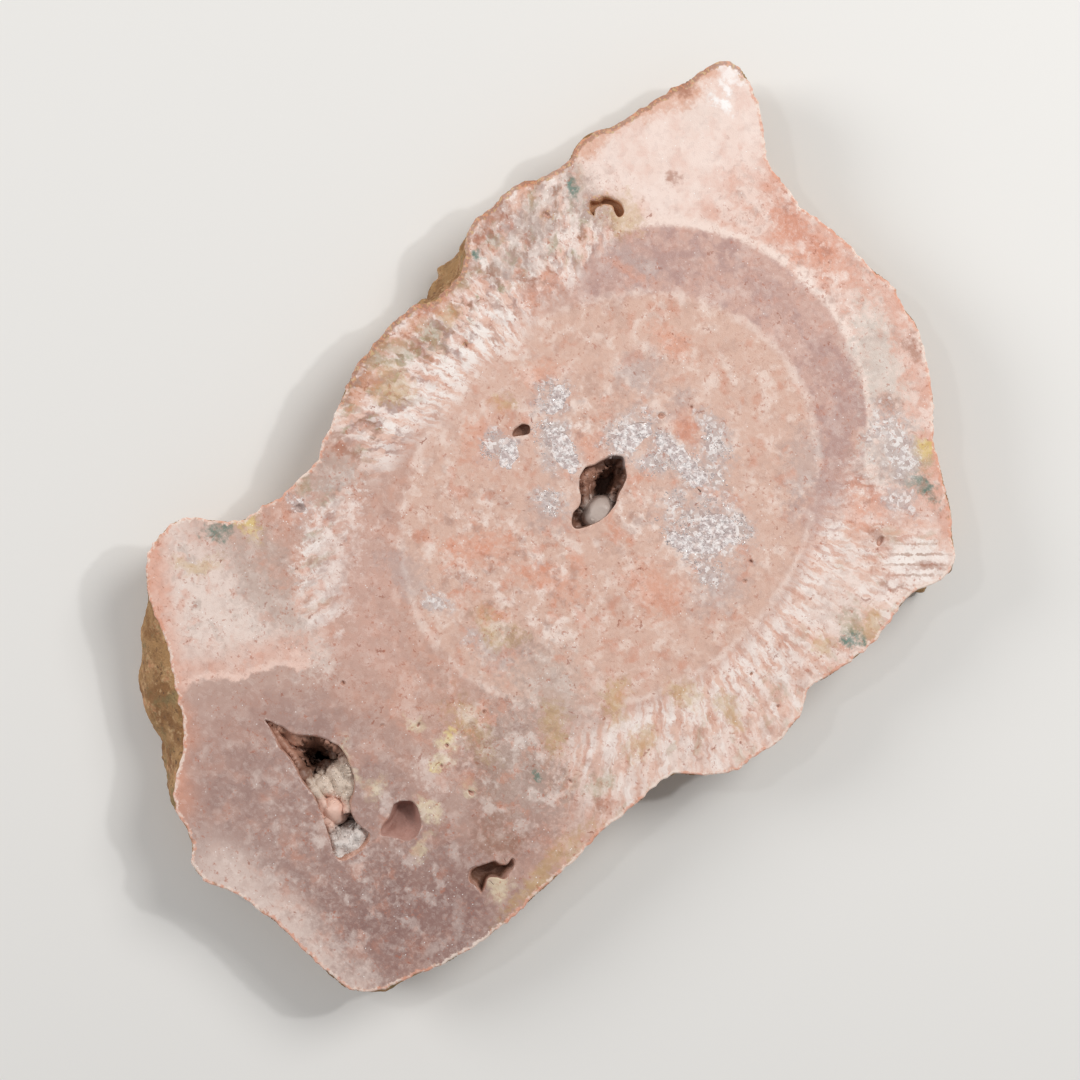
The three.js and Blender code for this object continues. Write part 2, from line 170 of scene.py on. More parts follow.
# %% [markdown]
# ## Shader sums as Python
#
# A Wire is one socket of a material's node tree. Adding, multiplying or comparing Wires makes the Math
# nodes, so a mask is written as a short sum. Every other node comes from Finish.node.

# %% Wire and Finish
class Wire:
    def __init__(self, finish, socket):
        self.finish = finish
        self.socket = socket

    def math(self, operation, *others):
        values = dict(enumerate((self, *others)))
        return self.finish.node("ShaderNodeMath", {"operation": operation}, values)

    def __add__(self, other):
        return self.math("ADD", other)

    def __sub__(self, other):
        return self.math("SUBTRACT", other)

    def __rsub__(self, other):
        return self.finish.node("ShaderNodeMath", {"operation": "SUBTRACT"}, {0: other, 1: self})

    def __mul__(self, other):
        return self.math("MULTIPLY", other)

    __radd__ = __add__

    def larger(self, other):
        return self.math("MAXIMUM", other)

    def smaller(self, other):
        return self.math("MINIMUM", other)

    def blend(self, other, share=0.5):
        """A share of this field and the rest of another."""
        return self * share + other * (1 - share)

    def between(self, low, high):
        """0 at low, 1 at high, and smooth between them."""
        values = {"Value": self, "From Min": low, "From Max": high}
        return self.finish.node("ShaderNodeMapRange", {"interpolation_type": "SMOOTHSTEP"}, values)


class Finish:
    def __init__(self, name, colour):
        self.colour = colour
        self.material = bpy.data.materials.new(name)
        self.material.use_nodes = True
        self.tree = self.material.node_tree
        self.shader = self.tree.nodes["Principled BSDF"]
        self.turns = {}

    def node(self, kind, settings, values, output=0):
        made = self.tree.nodes.new(kind)
        for name, value in settings.items():
            setattr(made, name, value)
        for name, value in values.items():
            if isinstance(value, Wire):
                self.tree.links.new(value.socket, made.inputs[name])
            else:
                made.inputs[name].default_value = value
        return Wire(self, made.outputs[output])

    def vector(self, operation, *values, output="Vector"):
        values = dict(enumerate(values))
        return self.node("ShaderNodeVectorMath", {"operation": operation}, values, output)

    def dot(self, vector, way):
        return self.vector("DOT_PRODUCT", vector, way, output="Value")

    def also(self, wire, output):
        """Another output of the node that a Wire comes from."""
        return Wire(self, wire.socket.node.outputs[output])

    def noise(self, vector, scale, detail, roughness, output="Color"):
        values = {"Vector": vector, "Scale": scale, "Detail": detail, "Roughness": roughness}
        return self.node("ShaderNodeTexNoise", {"noise_dimensions": "3D"}, values, output)

    def fields(self, *settings):
        """Three noises that know nothing of each other."""
        return self.channels(self.noise(*settings))

    def cells(self, vector, scale):
        """Distance on the plan to the nearest of scattered points, whose own Color and Position it has."""
        values = {"Vector": vector, "Scale": scale}
        return self.node("ShaderNodeTexVoronoi", {"voronoi_dimensions": "2D"}, values)

    def layers(self, ground, *coats):
        """Lays colours over a ground one after another, each where its mask says."""
        for colour, mask in coats:
            below = ground if isinstance(ground, Wire) else (*ground, 1.0)
            above = colour if isinstance(colour, Wire) else (*colour, 1.0)
            ground = self.node("ShaderNodeMix", {"data_type": "RGBA"}, {0: mask, 6: below, 7: above}, 2)
        return ground

    def paint(self, colour, mask):
        """Lays a colour over all that is painted so far."""
        self.colour = self.layers(self.colour, (colour, mask))

    def drawing(self):
        """Object coordinates in the drawing's millimetres, with the height as the third."""
        place = self.node("ShaderNodeTexCoord", {}, {}, "Object")
        return self.vector("MULTIPLY_ADD", place, (1 / MM,) * 3, DRAWING_MIDDLE)

    def part(self, vector, axis):
        return self.node("ShaderNodeSeparateXYZ", {}, {"Vector": vector}, axis)

    def along_line(self, vector, start, direction):
        """Millimetres along a direction from a start on the drawing."""
        way = Vector((*direction, 0.0)).normalized()
        return self.dot(vector, way) - way.dot(Vector((*start, 0.0)))

    def turned(self, vector, degrees):
        """The drawing turned back by some degrees. Each turn of a vector is made once."""
        if degrees == 0:
            return vector
        key = (vector.socket.node.name, degrees)
        if key not in self.turns:
            values = {"Vector": vector, "Angle": -math.radians(degrees)}
            self.turns[key] = self.node("ShaderNodeVectorRotate", {"rotation_type": "Z_AXIS"}, values)
        return self.turns[key]

    def ellipse(self, vector, x, y, wide, high, turn=0):
        """0 at the middle of an ellipse on the drawing, 1 on its line, and more outside it."""
        middle = Matrix.Rotation(-math.radians(turn), 3, "Z") @ Vector((x, y, 0.0))
        scale = Vector((1 / wide, 1 / high, 0.0))
        local = self.vector("MULTIPLY_ADD", self.turned(vector, turn), scale, -middle * scale)
        return self.vector("LENGTH", local, output="Value")

    def patches(self, vector, ellipses, soft=0.4, fray=0.0):
        """1 inside any of the ellipses, fading to 0 over the soft share of them, with a frayed line."""
        nearest = self.ellipse(vector, *ellipses[0])
        for ellipse in ellipses[1:]:
            nearest = nearest.smaller(self.ellipse(vector, *ellipse))
        return (nearest + fray).between(1.0 + soft, 1.0 - soft)

    def channels(self, colour):
        """The three numbers inside a colour."""
        names = ("Red", "Green", "Blue")
        return [self.node("ShaderNodeSeparateColor", {}, {"Color": colour}, name) for name in names]

    def set(self, **values):
        """Sets the shader's sockets: a number or a colour on the socket itself, a Wire as a link."""
        for name, value in values.items():
            socket = self.shader.inputs[name.replace("_", " ")]
            if isinstance(value, Wire):
                self.tree.links.new(value.socket, socket)
            else:
                socket.default_value = value

    def bump(self, height, strength, distance):
        values = {"Height": height, "Strength": strength, "Distance": distance}
        return self.node("ShaderNodeBump", {}, values)


print("shader helpers ready")

# %% [markdown]
# ## The stone
#
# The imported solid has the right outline, rind and hollows, in facets a few millimetres across. A real
# rind is rough at every scale. So the walls are cut finer with subdivide, smoothed, and pushed in and
# out by fractal noise, while the two sawn faces stay dead flat. Pinholes come first, as a Boolean cut,
# because they open in the flat face.

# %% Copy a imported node
FACE, RIND, WALL = 0, 1, 2
FLAT = 2e-6


def merged_copy(node):
    mesh = bmesh.new()
    mesh.from_mesh(frame["nodes"][node].data)
    bmesh.ops.remove_doubles(mesh, verts=mesh.verts, dist=FLAT)
    return mesh


def finished(mesh, name, finishes=()):
    data = bpy.data.meshes.new(name)
    mesh.to_mesh(data)
    mesh.free()
    for finish in finishes:
        data.materials.append(finish)
    piece = bpy.data.objects.new(name, data)
    bpy.context.collection.objects.link(piece)
    print(name, len(data.polygons), "faces")
    return piece


uncut = finished(merged_copy("slice"), "uncut_slice")

# %% [markdown]
# Gas and leached grains left about twenty pinholes in the face. A squashed and dented icosphere is cut
# out of the stone for each.

# %% Pinholes in the sawn face
PINHOLES = [
    (8.7, -53.8, 0.7), (17.4, -52.4, 0.8), (20.0, -57.0, 0.7), (30.0, -56.5, 1.0), (18.0, -40.0, 0.6),
    (-12.0, -59.8, 0.8), (45.5, -37.0, 0.6), (38.6, 33.9, 0.9), (41.0, 29.3, 0.5), (58.0, 60.3, 1.2),
    (58.5, 14.0, 0.5), (69.0, 13.0, 0.5), (-3.5, 32.4, 0.9), (-2.9, 43.8, 0.9), (-50.6, -36.6, 1.4),
    (-50.0, 21.7, 0.7), (-58.7, 59.0, 0.7), (0.9, 50.6, 0.7), (15.2, 37.0, 0.6), (2.4, -60.5, 0.5),
]
HOLE_WIDTHS, HOLE_HEIGHTS, HOLE_DEPTH = (0.8, 1.3), (0.6, 1.0), 1.3
HOLE_BUMPS, HOLE_BUMP_SIZE = 0.25, 0.7 * MM
dice = random.Random(7)

holes = bmesh.new()
for x, y, radius in PINHOLES:
    wide, high = radius * dice.uniform(*HOLE_WIDTHS), radius * dice.uniform(*HOLE_HEIGHTS)
    size = Matrix.Diagonal((wide, high, radius * HOLE_DEPTH, 1))
    turn = Matrix.Rotation(dice.uniform(0, math.pi), 4, "Z")
    spot = Matrix.Translation(drawn(x, y) + Vector((0, 0, THICKNESS)))
    bmesh.ops.create_icosphere(holes, subdivisions=2, radius=MM, matrix=spot @ turn @ size)
for vert in holes.verts:
    vert.co += vert.normal * HOLE_BUMPS * MM * noise.noise(vert.co / HOLE_BUMP_SIZE)
cutter = finished(holes, "pits")
cut = uncut.modifiers.new("pinholes", "BOOLEAN")
cut.operation = "DIFFERENCE"
cut.solver = "EXACT"
cut.object = cutter
stone = bmesh.new()
stone.from_mesh(uncut.evaluated_get(bpy.context.evaluated_depsgraph_get()).to_mesh())
for helper in (uncut, cutter):
    bpy.data.objects.remove(helper)
bmesh.ops.remove_doubles(stone, verts=stone.verts, dist=FLAT)
print("cut", len(PINHOLES), "pinholes")

# %% [markdown]
# The two flat faces are taken off now, and are filled in again when the walls are done. What is left
# falls into islands of faces. The largest is the rind, and every other one is a hollow or a pinhole.

# %% Tell the sawn faces, the rind and the hollows apart
def is_sawn(face):
    heights = [v.co.z for v in face.verts]
    return max(heights) < FLAT or min(heights) > THICKNESS - FLAT


def islands(faces):
    """Groups of faces that hang together."""
    left = set(faces)
    while left:
        start = left.pop()
        group, frontier = {start}, [start]
        while frontier:
            for beside in {f for e in frontier.pop().edges for f in e.link_faces} & left:
                left.remove(beside)
                group.add(beside)
                frontier.append(beside)
        yield group


for face in stone.faces:
    face.material_index = FACE if is_sawn(face) else WALL
groups = sorted(islands(f for f in stone.faces if f.material_index == WALL), key=len)
for face in groups[-1]:
    face.material_index = RIND
sawn_faces = [f for f in stone.faces if f.material_index == FACE]
bmesh.ops.delete(stone, geom=sawn_faces, context="FACES_KEEP_BOUNDARY")
print(len(groups) - 1, "hollows and pinholes, and one rind")

# %% Cut the walls finer
LONGEST_EDGE = 1.0 * MM


def refine(mesh, longest, passes=4):
    """Halves every longer edge."""
    for _ in range(passes):
        long_edges = [e for e in mesh.edges if e.calc_length() > longest]
        bmesh.ops.subdivide_edges(mesh, edges=long_edges, cuts=1)
        bmesh.ops.triangulate(mesh, faces=[f for f in mesh.faces if len(f.verts) > 3])
        print("  halved", len(long_edges), "edges")


refine(stone, LONGEST_EDGE)
inner = [v for v in stone.verts if not v.is_boundary]
print(len(stone.faces), "faces after cutting finer")

# %% [markdown]
# The left flank is one smooth, swelling piece of skin, and the small pocket left of the middle is
# shallow. Their corners are moved before the noise comes, so that both still get their roughness.

# %% Swell the left flank and raise the small pocket
FLANK, FLANK_LENGTH, FLANK_DEPTH = drawn(-46.0, -95.0), 24 * MM, 8 * MM
FLANK_OUT, FLANK_ALONG = Vector((-0.62, -0.785, 0)), Vector((0.785, -0.62, 0))
FLANK_PASSES, FLANK_SWELL = 60, 3.2 * MM
POCKET, POCKET_REACH, POCKET_SHARE = drawn(-25.0, 16.6), 5 * MM, 0.3


def soften(mesh, verts, upright=True):
    """Moves corners half way to the middle of their neighbours."""
    bmesh.ops.smooth_vert(mesh, verts=verts, factor=0.5, use_axis_x=True, use_axis_y=True, use_axis_z=upright)


def from_skin(spot):
    """How far a place is out and along from the middle of the left flank, in the plan."""
    away = spot - FLANK
    return away.dot(FLANK_OUT), away.dot(FLANK_ALONG)


def is_on_flank(spot):
    out, aside = from_skin(spot)
    return abs(aside) < FLANK_LENGTH and out > -FLANK_DEPTH


flank = [v for v in inner if is_on_flank(v.co)]
for _ in range(FLANK_PASSES):
    soften(stone, flank, upright=False)
for vert in flank:
    taper = max(0.0, 1 - (from_skin(vert.co)[1] / FLANK_LENGTH) ** 2)
    bulge = taper * math.sin(math.pi * vert.co.z / THICKNESS)
    vert.co += FLANK_OUT * FLANK_SWELL * max(0.0, bulge)
for vert in inner:
    if (vert.co - POCKET).xy.length < POCKET_REACH and vert.co.z > FLAT:
        vert.co.z = THICKNESS - (THICKNESS - vert.co.z) * POCKET_SHARE
print(len(flank), "corners on the flank")

# %% Smooth the facets
SMOOTH_PASSES = 3


def along_rim(vert):
    """The neighbours of a rim corner along the open edge."""
    return [e.other_vert(vert) for e in vert.link_edges if e.is_boundary]


rim = [v for v in stone.verts if v.is_boundary]
for _ in range(SMOOTH_PASSES):
    soften(stone, inner)
    means = [sum((n.co for n in along_rim(v)), Vector()) / len(along_rim(v)) for v in rim]
    for vert, mean in zip(rim, means):
        vert.co = vert.co.lerp(mean, 0.5)
print(len(rim), "rim corners smoothed")

# %% [markdown]
# Noise in layers gives the rind its knobs, its lumps and its grain. It dies out near the saw cuts, so
# that the rims stay in their planes, and the hollows get less of it.

# %% Roughen the walls
ROUGHNESS = [(6.0, 0.6), (1.9, 0.3), (0.8, 0.16)]
RIM_ROUGHNESS = [(4.5, 0.5), (1.8, 0.6), (0.8, 0.25)]
CLEAR_OF_SAW = 1.6 * MM
HOLLOW_SHARE = 0.4


def rough(place, layers):
    """Noise in layers, each with a size across and a height in millimetres."""
    point = place / MM
    return MM * sum(height * noise.noise(point / across) for across, height in layers)


def is_outer(vert):
    return any(f.material_index == RIND for f in vert.link_faces)


stone.normal_update()
moves = []
for vert in stone.verts:
    if vert.is_boundary:
        outward = Vector((vert.normal.x, vert.normal.y, 0)).normalized()
        amount = rough(vert.co, RIM_ROUGHNESS)
    else:
        outward = vert.normal.copy()
        from_saw = min(vert.co.z, THICKNESS - vert.co.z)
        amount = rough(vert.co, ROUGHNESS) * min(1.0, from_saw / CLEAR_OF_SAW)
    moves.append((vert, outward * amount * (1.0 if is_outer(vert) else HOLLOW_SHARE)))
for vert, move in moves:
    vert.co += move
for face in stone.faces:
    face.smooth = True
print("walls roughened")

# %% [markdown]
# A sawn edge of stone is never sharp: it is chipped back a fraction of a millimetre. A strip about a
# millimetre further in is painted: pale, as a painted highlight where light shines through the thin edge
# of the stone, and rusty in places. So the open edge is extruded inwards twice before the flat face is
# filled. The first strip is a small chamfer. The second is flat, and an attribute fades over it from 1
# to 0, for the finish to read.

# %% Strips along the open edges
# A strip gets narrower by SHRINK, as a share, while another rim is nearer to its new edge than CLOSEST, or
# than AHEAD_GAP a little further on. Both are shares of its width.
DIRECTION_PASSES = 3
CLOSEST, LOOK_AHEAD, AHEAD_GAP = 0.8, 2.6, 1.2
SHRINK, NARROWEST_PART = 0.7, 30


def corners_of(edges):
    """The corners of some edges, in the same order on every run."""
    return list(dict.fromkeys(v for e in edges for v in e.verts))


def open_edges(mesh, height):
    return [e for e in mesh.edges if e.is_boundary and all(abs(v.co.z - height) < FLAT for v in e.verts)]


def into_stone(edges):
    """For each corner of an open edge, the flat direction that leads into the stone."""
    corners = corners_of(edges)
    away = {v: -Vector((v.normal.x, v.normal.y, 0)).normalized() for v in corners}
    for _ in range(DIRECTION_PASSES):
        beside = {v: sum((away[n] for n in along_rim(v)), Vector()) / 2 for v in corners}
        away = {v: (away[v] + beside[v]).normalized() for v in corners}
    return away


def too_close(place, way, reach, tree):
    """True where another rim is so near that two strips would meet."""
    return (tree.find(place + way * reach)[2] < CLOSEST * reach
            or tree.find(place + way * reach * LOOK_AHEAD)[2] < AHEAD_GAP * reach)


def strip(mesh, edges, away, width, tree):
    """Extrudes the open edges by a width, or by less where another rim is close.

    Returns the new edges, and for each new corner the one it came from.
    """
    made = bmesh.ops.extrude_edge_only(mesh, edges=edges)["geom"]
    sources = {}
    for vert in (g for g in made if isinstance(g, bmesh.types.BMVert)):
        source = next(v for v in (e.other_vert(vert) for e in vert.link_edges) if v in away)
        reach = width
        while reach > width / NARROWEST_PART and too_close(source.co, away[source], reach, tree):
            reach *= SHRINK
        vert.co = source.co + away[source] * reach
        sources[vert] = source
    for face in (g for g in made if isinstance(g, bmesh.types.BMFace)):
        face.material_index = FACE
        face.smooth = False
    return [g for g in made if isinstance(g, bmesh.types.BMEdge)], sources


def rim_tree(edges):
    corners = corners_of(edges)
    tree = KDTree(len(corners))
    for index, vert in enumerate(corners):
        tree.insert(vert.co, index)
    tree.balance()
    return tree


print("strips ready")

# %% [markdown]
# The flat faces have holes in them, so a constrained Delaunay triangulation fills them. It fills the
# holes as well. A triangle is only kept where an odd number of rims lies to its right, which means
# stone. The rims are sorted into rows first, because looking through all of them each time is slow.

# %% Fill a flat face
ROW = 1 * MM
INSIDE, MERGE_REACH = 1, FLAT / 20


def rows_of(segments):
    """The segments that cross each row."""
    rows = {}
    for a, b in segments:
        low, high = sorted((a.y, b.y))
        for row in range(math.floor(low / ROW), math.floor(high / ROW) + 1):
            rows.setdefault(row, []).append((a, b))
    return rows


def is_stone(x, y, rows):
    """Counts the rims to the right of a point."""
    count = 0
    for a, b in rows.get(math.floor(y / ROW), ()):
        if (a.y > y) != (b.y > y) and x < a.x + (y - a.y) * (b.x - a.x) / (b.y - a.y):
            count += 1
    return count % 2 == 1


def fill_flat(mesh, height):
    """Fills the open edge at one height with triangles, and leaves its holes open."""
    edges = open_edges(mesh, height)
    corners = corners_of(edges)
    number = {v: n for n, v in enumerate(corners)}
    pairs = [tuple(number[v] for v in e.verts) for e in edges]
    rows = rows_of([tuple(v.co for v in e.verts) for e in edges])
    flat = [v.co.xy for v in corners]
    points, _, triangles, sources, *_ = delaunay_2d_cdt(flat, pairs, [], INSIDE, MERGE_REACH)
    placed = [corners[source[0]] if source else mesh.verts.new((*point, height))
              for point, source in zip(points, sources)]
    for triangle in triangles:
        middle = sum((placed[n].co for n in triangle), Vector()) / 3
        if is_stone(middle.x, middle.y, rows):
            mesh.faces.new([placed[n] for n in triangle])


print("filling ready")

# %% Chip, mark the painted edge and close both sawn faces
CHIP_WIDTH, CHIP_DROP, CHIP_SIZE = 0.3 * MM, 0.22 * MM, 2 * MM
EDGE_PAINT_WIDTH = 1.5 * MM
HOLLOW_EDGE = 0.45
edge_share = stone.verts.layers.float.new("edge_share")


def close_flat(mesh, height, up):
    """Chips the open edge at one height, marks the strip where the edge is painted with highlight and crust,
    then closes the face.
    """
    edges = open_edges(mesh, height)
    old = corners_of(edges)
    tree = rim_tree(edges)
    away = into_stone(edges)
    for vert in old:
        vert[edge_share] = 1.0 if is_outer(vert) else HOLLOW_EDGE
    chipped, sources = strip(mesh, edges, away, CHIP_WIDTH, tree)
    for vert, source in sources.items():
        vert[edge_share] = source[edge_share]
    onward = {v: away[source] for v, source in sources.items()}
    _, clean = strip(mesh, chipped, onward, EDGE_PAINT_WIDTH, tree)
    for vert in clean:
        vert[edge_share] = 0.0
    for vert in old:
        vert.co.z -= up * CHIP_DROP * (1 + noise.noise(vert.co / CHIP_SIZE))
    fill_flat(mesh, height)
    level = [f for f in mesh.faces if all(abs(v.co.z - height) < CHIP_DROP * 3 for v in f.verts)]
    faces = [f for f in level if f.material_index == FACE]
    for face in faces:
        face.smooth = False
        face.normal_update()
        if face.normal.z * up < 0:
            face.normal_flip()
    return len(faces)


def mend(mesh):
    """Takes away edges and corners that hold no face, and fills what is still open."""
    bmesh.ops.delete(mesh, geom=[e for e in mesh.edges if e.is_wire], context="EDGES")
    bmesh.ops.delete(mesh, geom=[v for v in mesh.verts if not v.link_faces], context="VERTS")
    filled = bmesh.ops.holes_fill(mesh, edges=[e for e in mesh.edges if e.is_boundary], sides=0)["faces"]
    bmesh.ops.triangulate(mesh, faces=filled)
    return len(filled)


stone.normal_update()
print("sawn face:", close_flat(stone, THICKNESS, 1), "back face:", close_flat(stone, 0.0, -1))
print("gaps mended:", mend(stone), "open edges left:", sum(e.is_boundary for e in stone.edges))

# %% [markdown]
# ## The sawn face
#
# The stone grew outwards from the middle in shells, so the saw shows rings: a peach disc, a thin pale
# line round it, a mauve band, a white ring, and then a pale outer zone. To the left and right of the
# disc the shells break up into white and red fibres that point at the middle. The lower lobe is a
# second, dusky growth. Iron and clay stain it in many places. All of it runs through the stone, so the
# pattern is made in three dimensions from object coordinates.

# %% Colours of the stone
def tone(red, green, blue):
    """A colour of a paint chart, 0 to 255, as light."""
    shares = [value / 255 for value in (red, green, blue)]
    return tuple(s / 12.92 if s <= 0.04045 else ((s + 0.055) / 1.055) ** 2.4 for s in shares)


GROUND, GROUND_WARM = tone(198, 160, 145), tone(208, 158, 138)
PEACH, PEACH_PALE, PEACH_DEEP = tone(216, 179, 162), tone(228, 200, 186), tone(206, 156, 136)
MAUVE, MAUVE_DARK = tone(208, 170, 157), tone(182, 146, 138)
RING_WHITE, LINE_PALE = tone(242, 220, 209), tone(234, 210, 198)
OUTER_PALE, OUTER_PINK, PEAK_PALE = tone(234, 206, 194), tone(220, 172, 154), tone(240, 218, 208)
FIBRE_WHITE, FIBRE_PINK, FIBRE_RED = tone(246, 236, 230), tone(228, 190, 173), tone(208, 152, 130)
FIBRE_DUSK, VEIN = tone(170, 138, 130), tone(240, 206, 192)
LOBE, LOBE_DARK, LOBE_DEEP = tone(172, 141, 132), tone(150, 118, 110), tone(138, 104, 98)
LOBE_WARM, LOBE_PALE = tone(196, 157, 143), tone(198, 170, 158)
WHITE_PATCH, PALE_EDGE_HIGHLIGHT = tone(232, 212, 202), tone(240, 222, 210)
GREY_PATCH, GREY_PALE = tone(184, 166, 156), tone(214, 200, 190)
SALMON, SALMON_DEEP = tone(222, 158, 132), tone(204, 132, 106)
RUST, ORANGE, OCHRE = tone(160, 98, 70), tone(208, 138, 98), tone(198, 164, 108)
OLIVE, TEAL = tone(154, 146, 108), tone(92, 122, 110)
CREAM, GOLD = tone(236, 222, 188), tone(218, 188, 116)
SMOKE, BROWN, SUGAR_GREY = tone(180, 162, 158), tone(150, 106, 82), tone(198, 182, 177)
SUGAR_DUSK, SUGAR_WHITE = tone(168, 144, 142), tone(252, 250, 249)
LIGHT_CLOUD, DUSK_CLOUD, WARM_CLOUD = tone(250, 236, 228), tone(144, 100, 88), tone(220, 142, 110)
DOT_RED, SPECK_RED, THREAD_RED = tone(156, 92, 70), tone(178, 108, 84), tone(176, 120, 100)
PAINTED_GLINT_WHITE = tone(255, 254, 253)
print("ground colour as light:", tuple(round(c, 3) for c in GROUND))

# %% [markdown]
# Nothing in a stone has a clean edge, so places are pushed about by noise before anything is measured.
# The shells lean, so the pattern also slides a little with depth, and the back face differs from the
# front.

# %% Warped places
SHELL_LEAN = (0.25, -0.15, 0.0)
sawn = Finish("sawn_banded_stone", GROUND)
surface = sawn.drawing()
depth = sawn.part(surface, "Z") - THICKNESS / MM
lean = sawn.node("ShaderNodeVectorMath", {"operation": "SCALE"}, {0: SHELL_LEAN, "Scale": depth})
place = sawn.vector("ADD", surface, lean)


def pushed(vector, field, reach):
    """Places moved by a colour noise, up to half the reach each way."""
    middle = sawn.vector("SUBTRACT", vector, (reach / 2, reach / 2, 0.0))
    return sawn.vector("MULTIPLY_ADD", field, (reach, reach, 0.0), middle)


wander = sawn.noise(place, 0.085, 1.0, 0.5)
fringe = sawn.noise(place, 0.42, 3.0, 0.6)
swayed = pushed(place, wander, 9.0)
warped = pushed(swayed, fringe, 5.5)
gently = pushed(place, fringe, 2.6)
across = sawn.part(swayed, "X")
along = sawn.part(swayed, "Y")
print("places ready")

# %% [markdown]
# The mottling has marks of several sizes, so there is one noise for each: haze is about 5 mm across,
# cloud 3 mm, crumb 1 mm and grain 0.3 mm. A colour noise holds three fields that know nothing of each
# other, and costs no more than one.

# %% Fields of noise
veil, haze, drift = sawn.fields(pushed(place, fringe, 2.0), 0.17, 3.0, 0.56)
cloud_light, cloud_dusk, cloud_warm = sawn.fields(pushed(place, fringe, 3.0), 0.33, 3.0, 0.56)
crumb, fleck, frost = sawn.fields(place, 0.9, 3.0, 0.62)
grain = sawn.noise(place, 3.2, 1.0, 0.6, "Fac")
fray = (crumb - 0.5) * 2.2 + (cloud_dusk - 0.5) * 1.6
print("pattern fields ready")

# %% [markdown]
# The rings are ellipses. A distance from each line, in millimetres, gives both what lies inside it and
# a thin band along it.

# %% Ground, rings and bands
past_disc = (sawn.ellipse(gently, 3.0, 19.5, 47.0, 56.0) - 1) * 50
past_outer = (sawn.ellipse(gently, 0.0, 41.5, 51.5, 51.5) - 1) * 51.5
in_disc = past_disc.between(1.5, -1.5)
in_outer = past_outer.between(1.2, -1.2)
upper = along.between(34.0, 60.0)
far_up = along.between(52.0, 66.0)

sawn.paint(GROUND_WARM, haze.between(0.42, 0.62) * 0.8)
outer_zone = sawn.layers(
    OUTER_PALE,
    (OUTER_PINK, veil.blend(cloud_warm, 0.6).between(0.42, 0.56)),
    (PEAK_PALE, across.between(-24.0, -38.0) * (0.6 + haze.between(0.4, 0.6) * 0.4)))
sawn.paint(outer_zone, (1 - in_outer) * far_up)
darker_side = across.between(8.0, 34.0) * 0.07
dark_band = (drift.blend(cloud_dusk) + darker_side).between(0.46, 0.62)
sawn.paint(sawn.layers(MAUVE, (MAUVE_DARK, dark_band)), in_outer * (1 - in_disc) * upper)
disc = sawn.layers(
    PEACH,
    (PEACH_PALE, haze.blend(cloud_light, 0.6).between(0.48, 0.62) * 0.9),
    (PEACH_DEEP, veil.blend(cloud_warm).between(0.5, 0.66) * 0.8))
sawn.paint(disc, in_disc)
white_ring = past_outer.between(-1.3, 0.2) * past_outer.between(3.4, 0.7)
sawn.paint(RING_WHITE, white_ring * far_up * cloud_light.between(0.25, 0.45) * 0.95)
pale_line = past_disc.between(-1.2, 0.3) * past_disc.between(2.0, 0.5)
sawn.paint(LINE_PALE, pale_line * veil.blend(cloud_light).between(0.36, 0.54) * 0.75)
print("rings done")

# %% [markdown]
# To the sides of the disc the crystals grew as fibres away from the middle, and clay and iron crept in
# between them. Noise over the bearing from the middle and the distance from it gives such streaks, once
# it is stretched along the distance. On the pointed right corner a few straight ribs run across instead.

# %% Fibres that point at the middle
FIBRE_FOCUS = (2.0, 28.0, 0.0)
BEARING_REACH = 34.0
ARM = [(-34.5, -44.0, 21.0, 6.5, -57)]
RIB_PLACE, RIB_WAY, RIB_PERIOD = (68.0, 63.0), (0.707, -0.707), 2.6

from_focus = sawn.vector("SUBTRACT", gently, FIBRE_FOCUS)
focus_x = sawn.part(from_focus, "X")
bearing = sawn.part(from_focus, "Y").math("ARCTAN2", focus_x.math("ABSOLUTE")) * BEARING_REACH


def streaks(stretch, sink, scale):
    """Three noises stretched along the fibres."""
    values = {"X": bearing, "Y": focus_x * stretch, "Z": depth * sink}
    return sawn.fields(sawn.node("ShaderNodeCombineXYZ", {}, values), scale, 3.0, 0.6)


fibre, tuft, streak = streaks(0.16, 0.05, 0.8)
rusty, dusky, mossy = streaks(0.42, 0.2, 0.42)
left_zone = across.between(-38.0, -48.0) * along.between(-24.0, -12.0) * along.between(76.0, 66.0)
right_zone = past_disc.between(-1.0, 6.0) * across.between(30.0, 47.0) * along.between(-52.0, -28.0)
right_zone = right_zone * along.between(78.0, 66.0)
arm = sawn.patches(warped, ARM, 0.4, fray)
near_disc = past_disc.between(20.0, 8.0)
on_left = across.between(-30.0, -44.0)
whiteness = (0.5 + on_left * 0.2 + near_disc * 0.3).larger(arm)
fibres = sawn.layers(
    FIBRE_PINK,
    (FIBRE_WHITE, fibre.between(0.4, 0.56) * whiteness),
    (FIBRE_RED, streak.between(0.52, 0.66) * 0.75),
    (FIBRE_DUSK, dusky.between(0.5, 0.62) * past_disc.between(2.0, 7.0) * (0.15 + on_left * 0.75)),
    (BROWN, rusty.between(0.52, 0.62) * past_disc.between(6.0, 12.0) * (0.2 + on_left * 0.65)),
    (OLIVE, mossy.between(0.54, 0.65) * past_disc.between(8.0, 14.0) * (0.3 + on_left * 0.4)),
    (FIBRE_WHITE, tuft.between(0.54, 0.64) * 0.6))
tufted = tuft.blend(cloud_light)
sawn.paint(fibres, left_zone.larger(right_zone).larger(arm) * tufted.between(0.32, 0.46))
sawn.paint(FIBRE_WHITE, arm * tufted.between(0.4, 0.54) * 0.6)
along_ribs = sawn.along_line(pushed(place, fringe, 0.9), RIB_PLACE, RIB_WAY)
ribs = (along_ribs * (math.tau / RIB_PERIOD)).math("SINE")
ribbed = sawn.layers(FIBRE_WHITE, (BROWN, (ribs + (crumb - 0.5) * 2.4).between(0.5, 1.0) * 0.7))
sawn.paint(ribbed, sawn.patches(gently, [(*RIB_PLACE, 7.0, 5.0, 45)], 0.4, fray * 0.5) * 0.85)
print("fibres done")

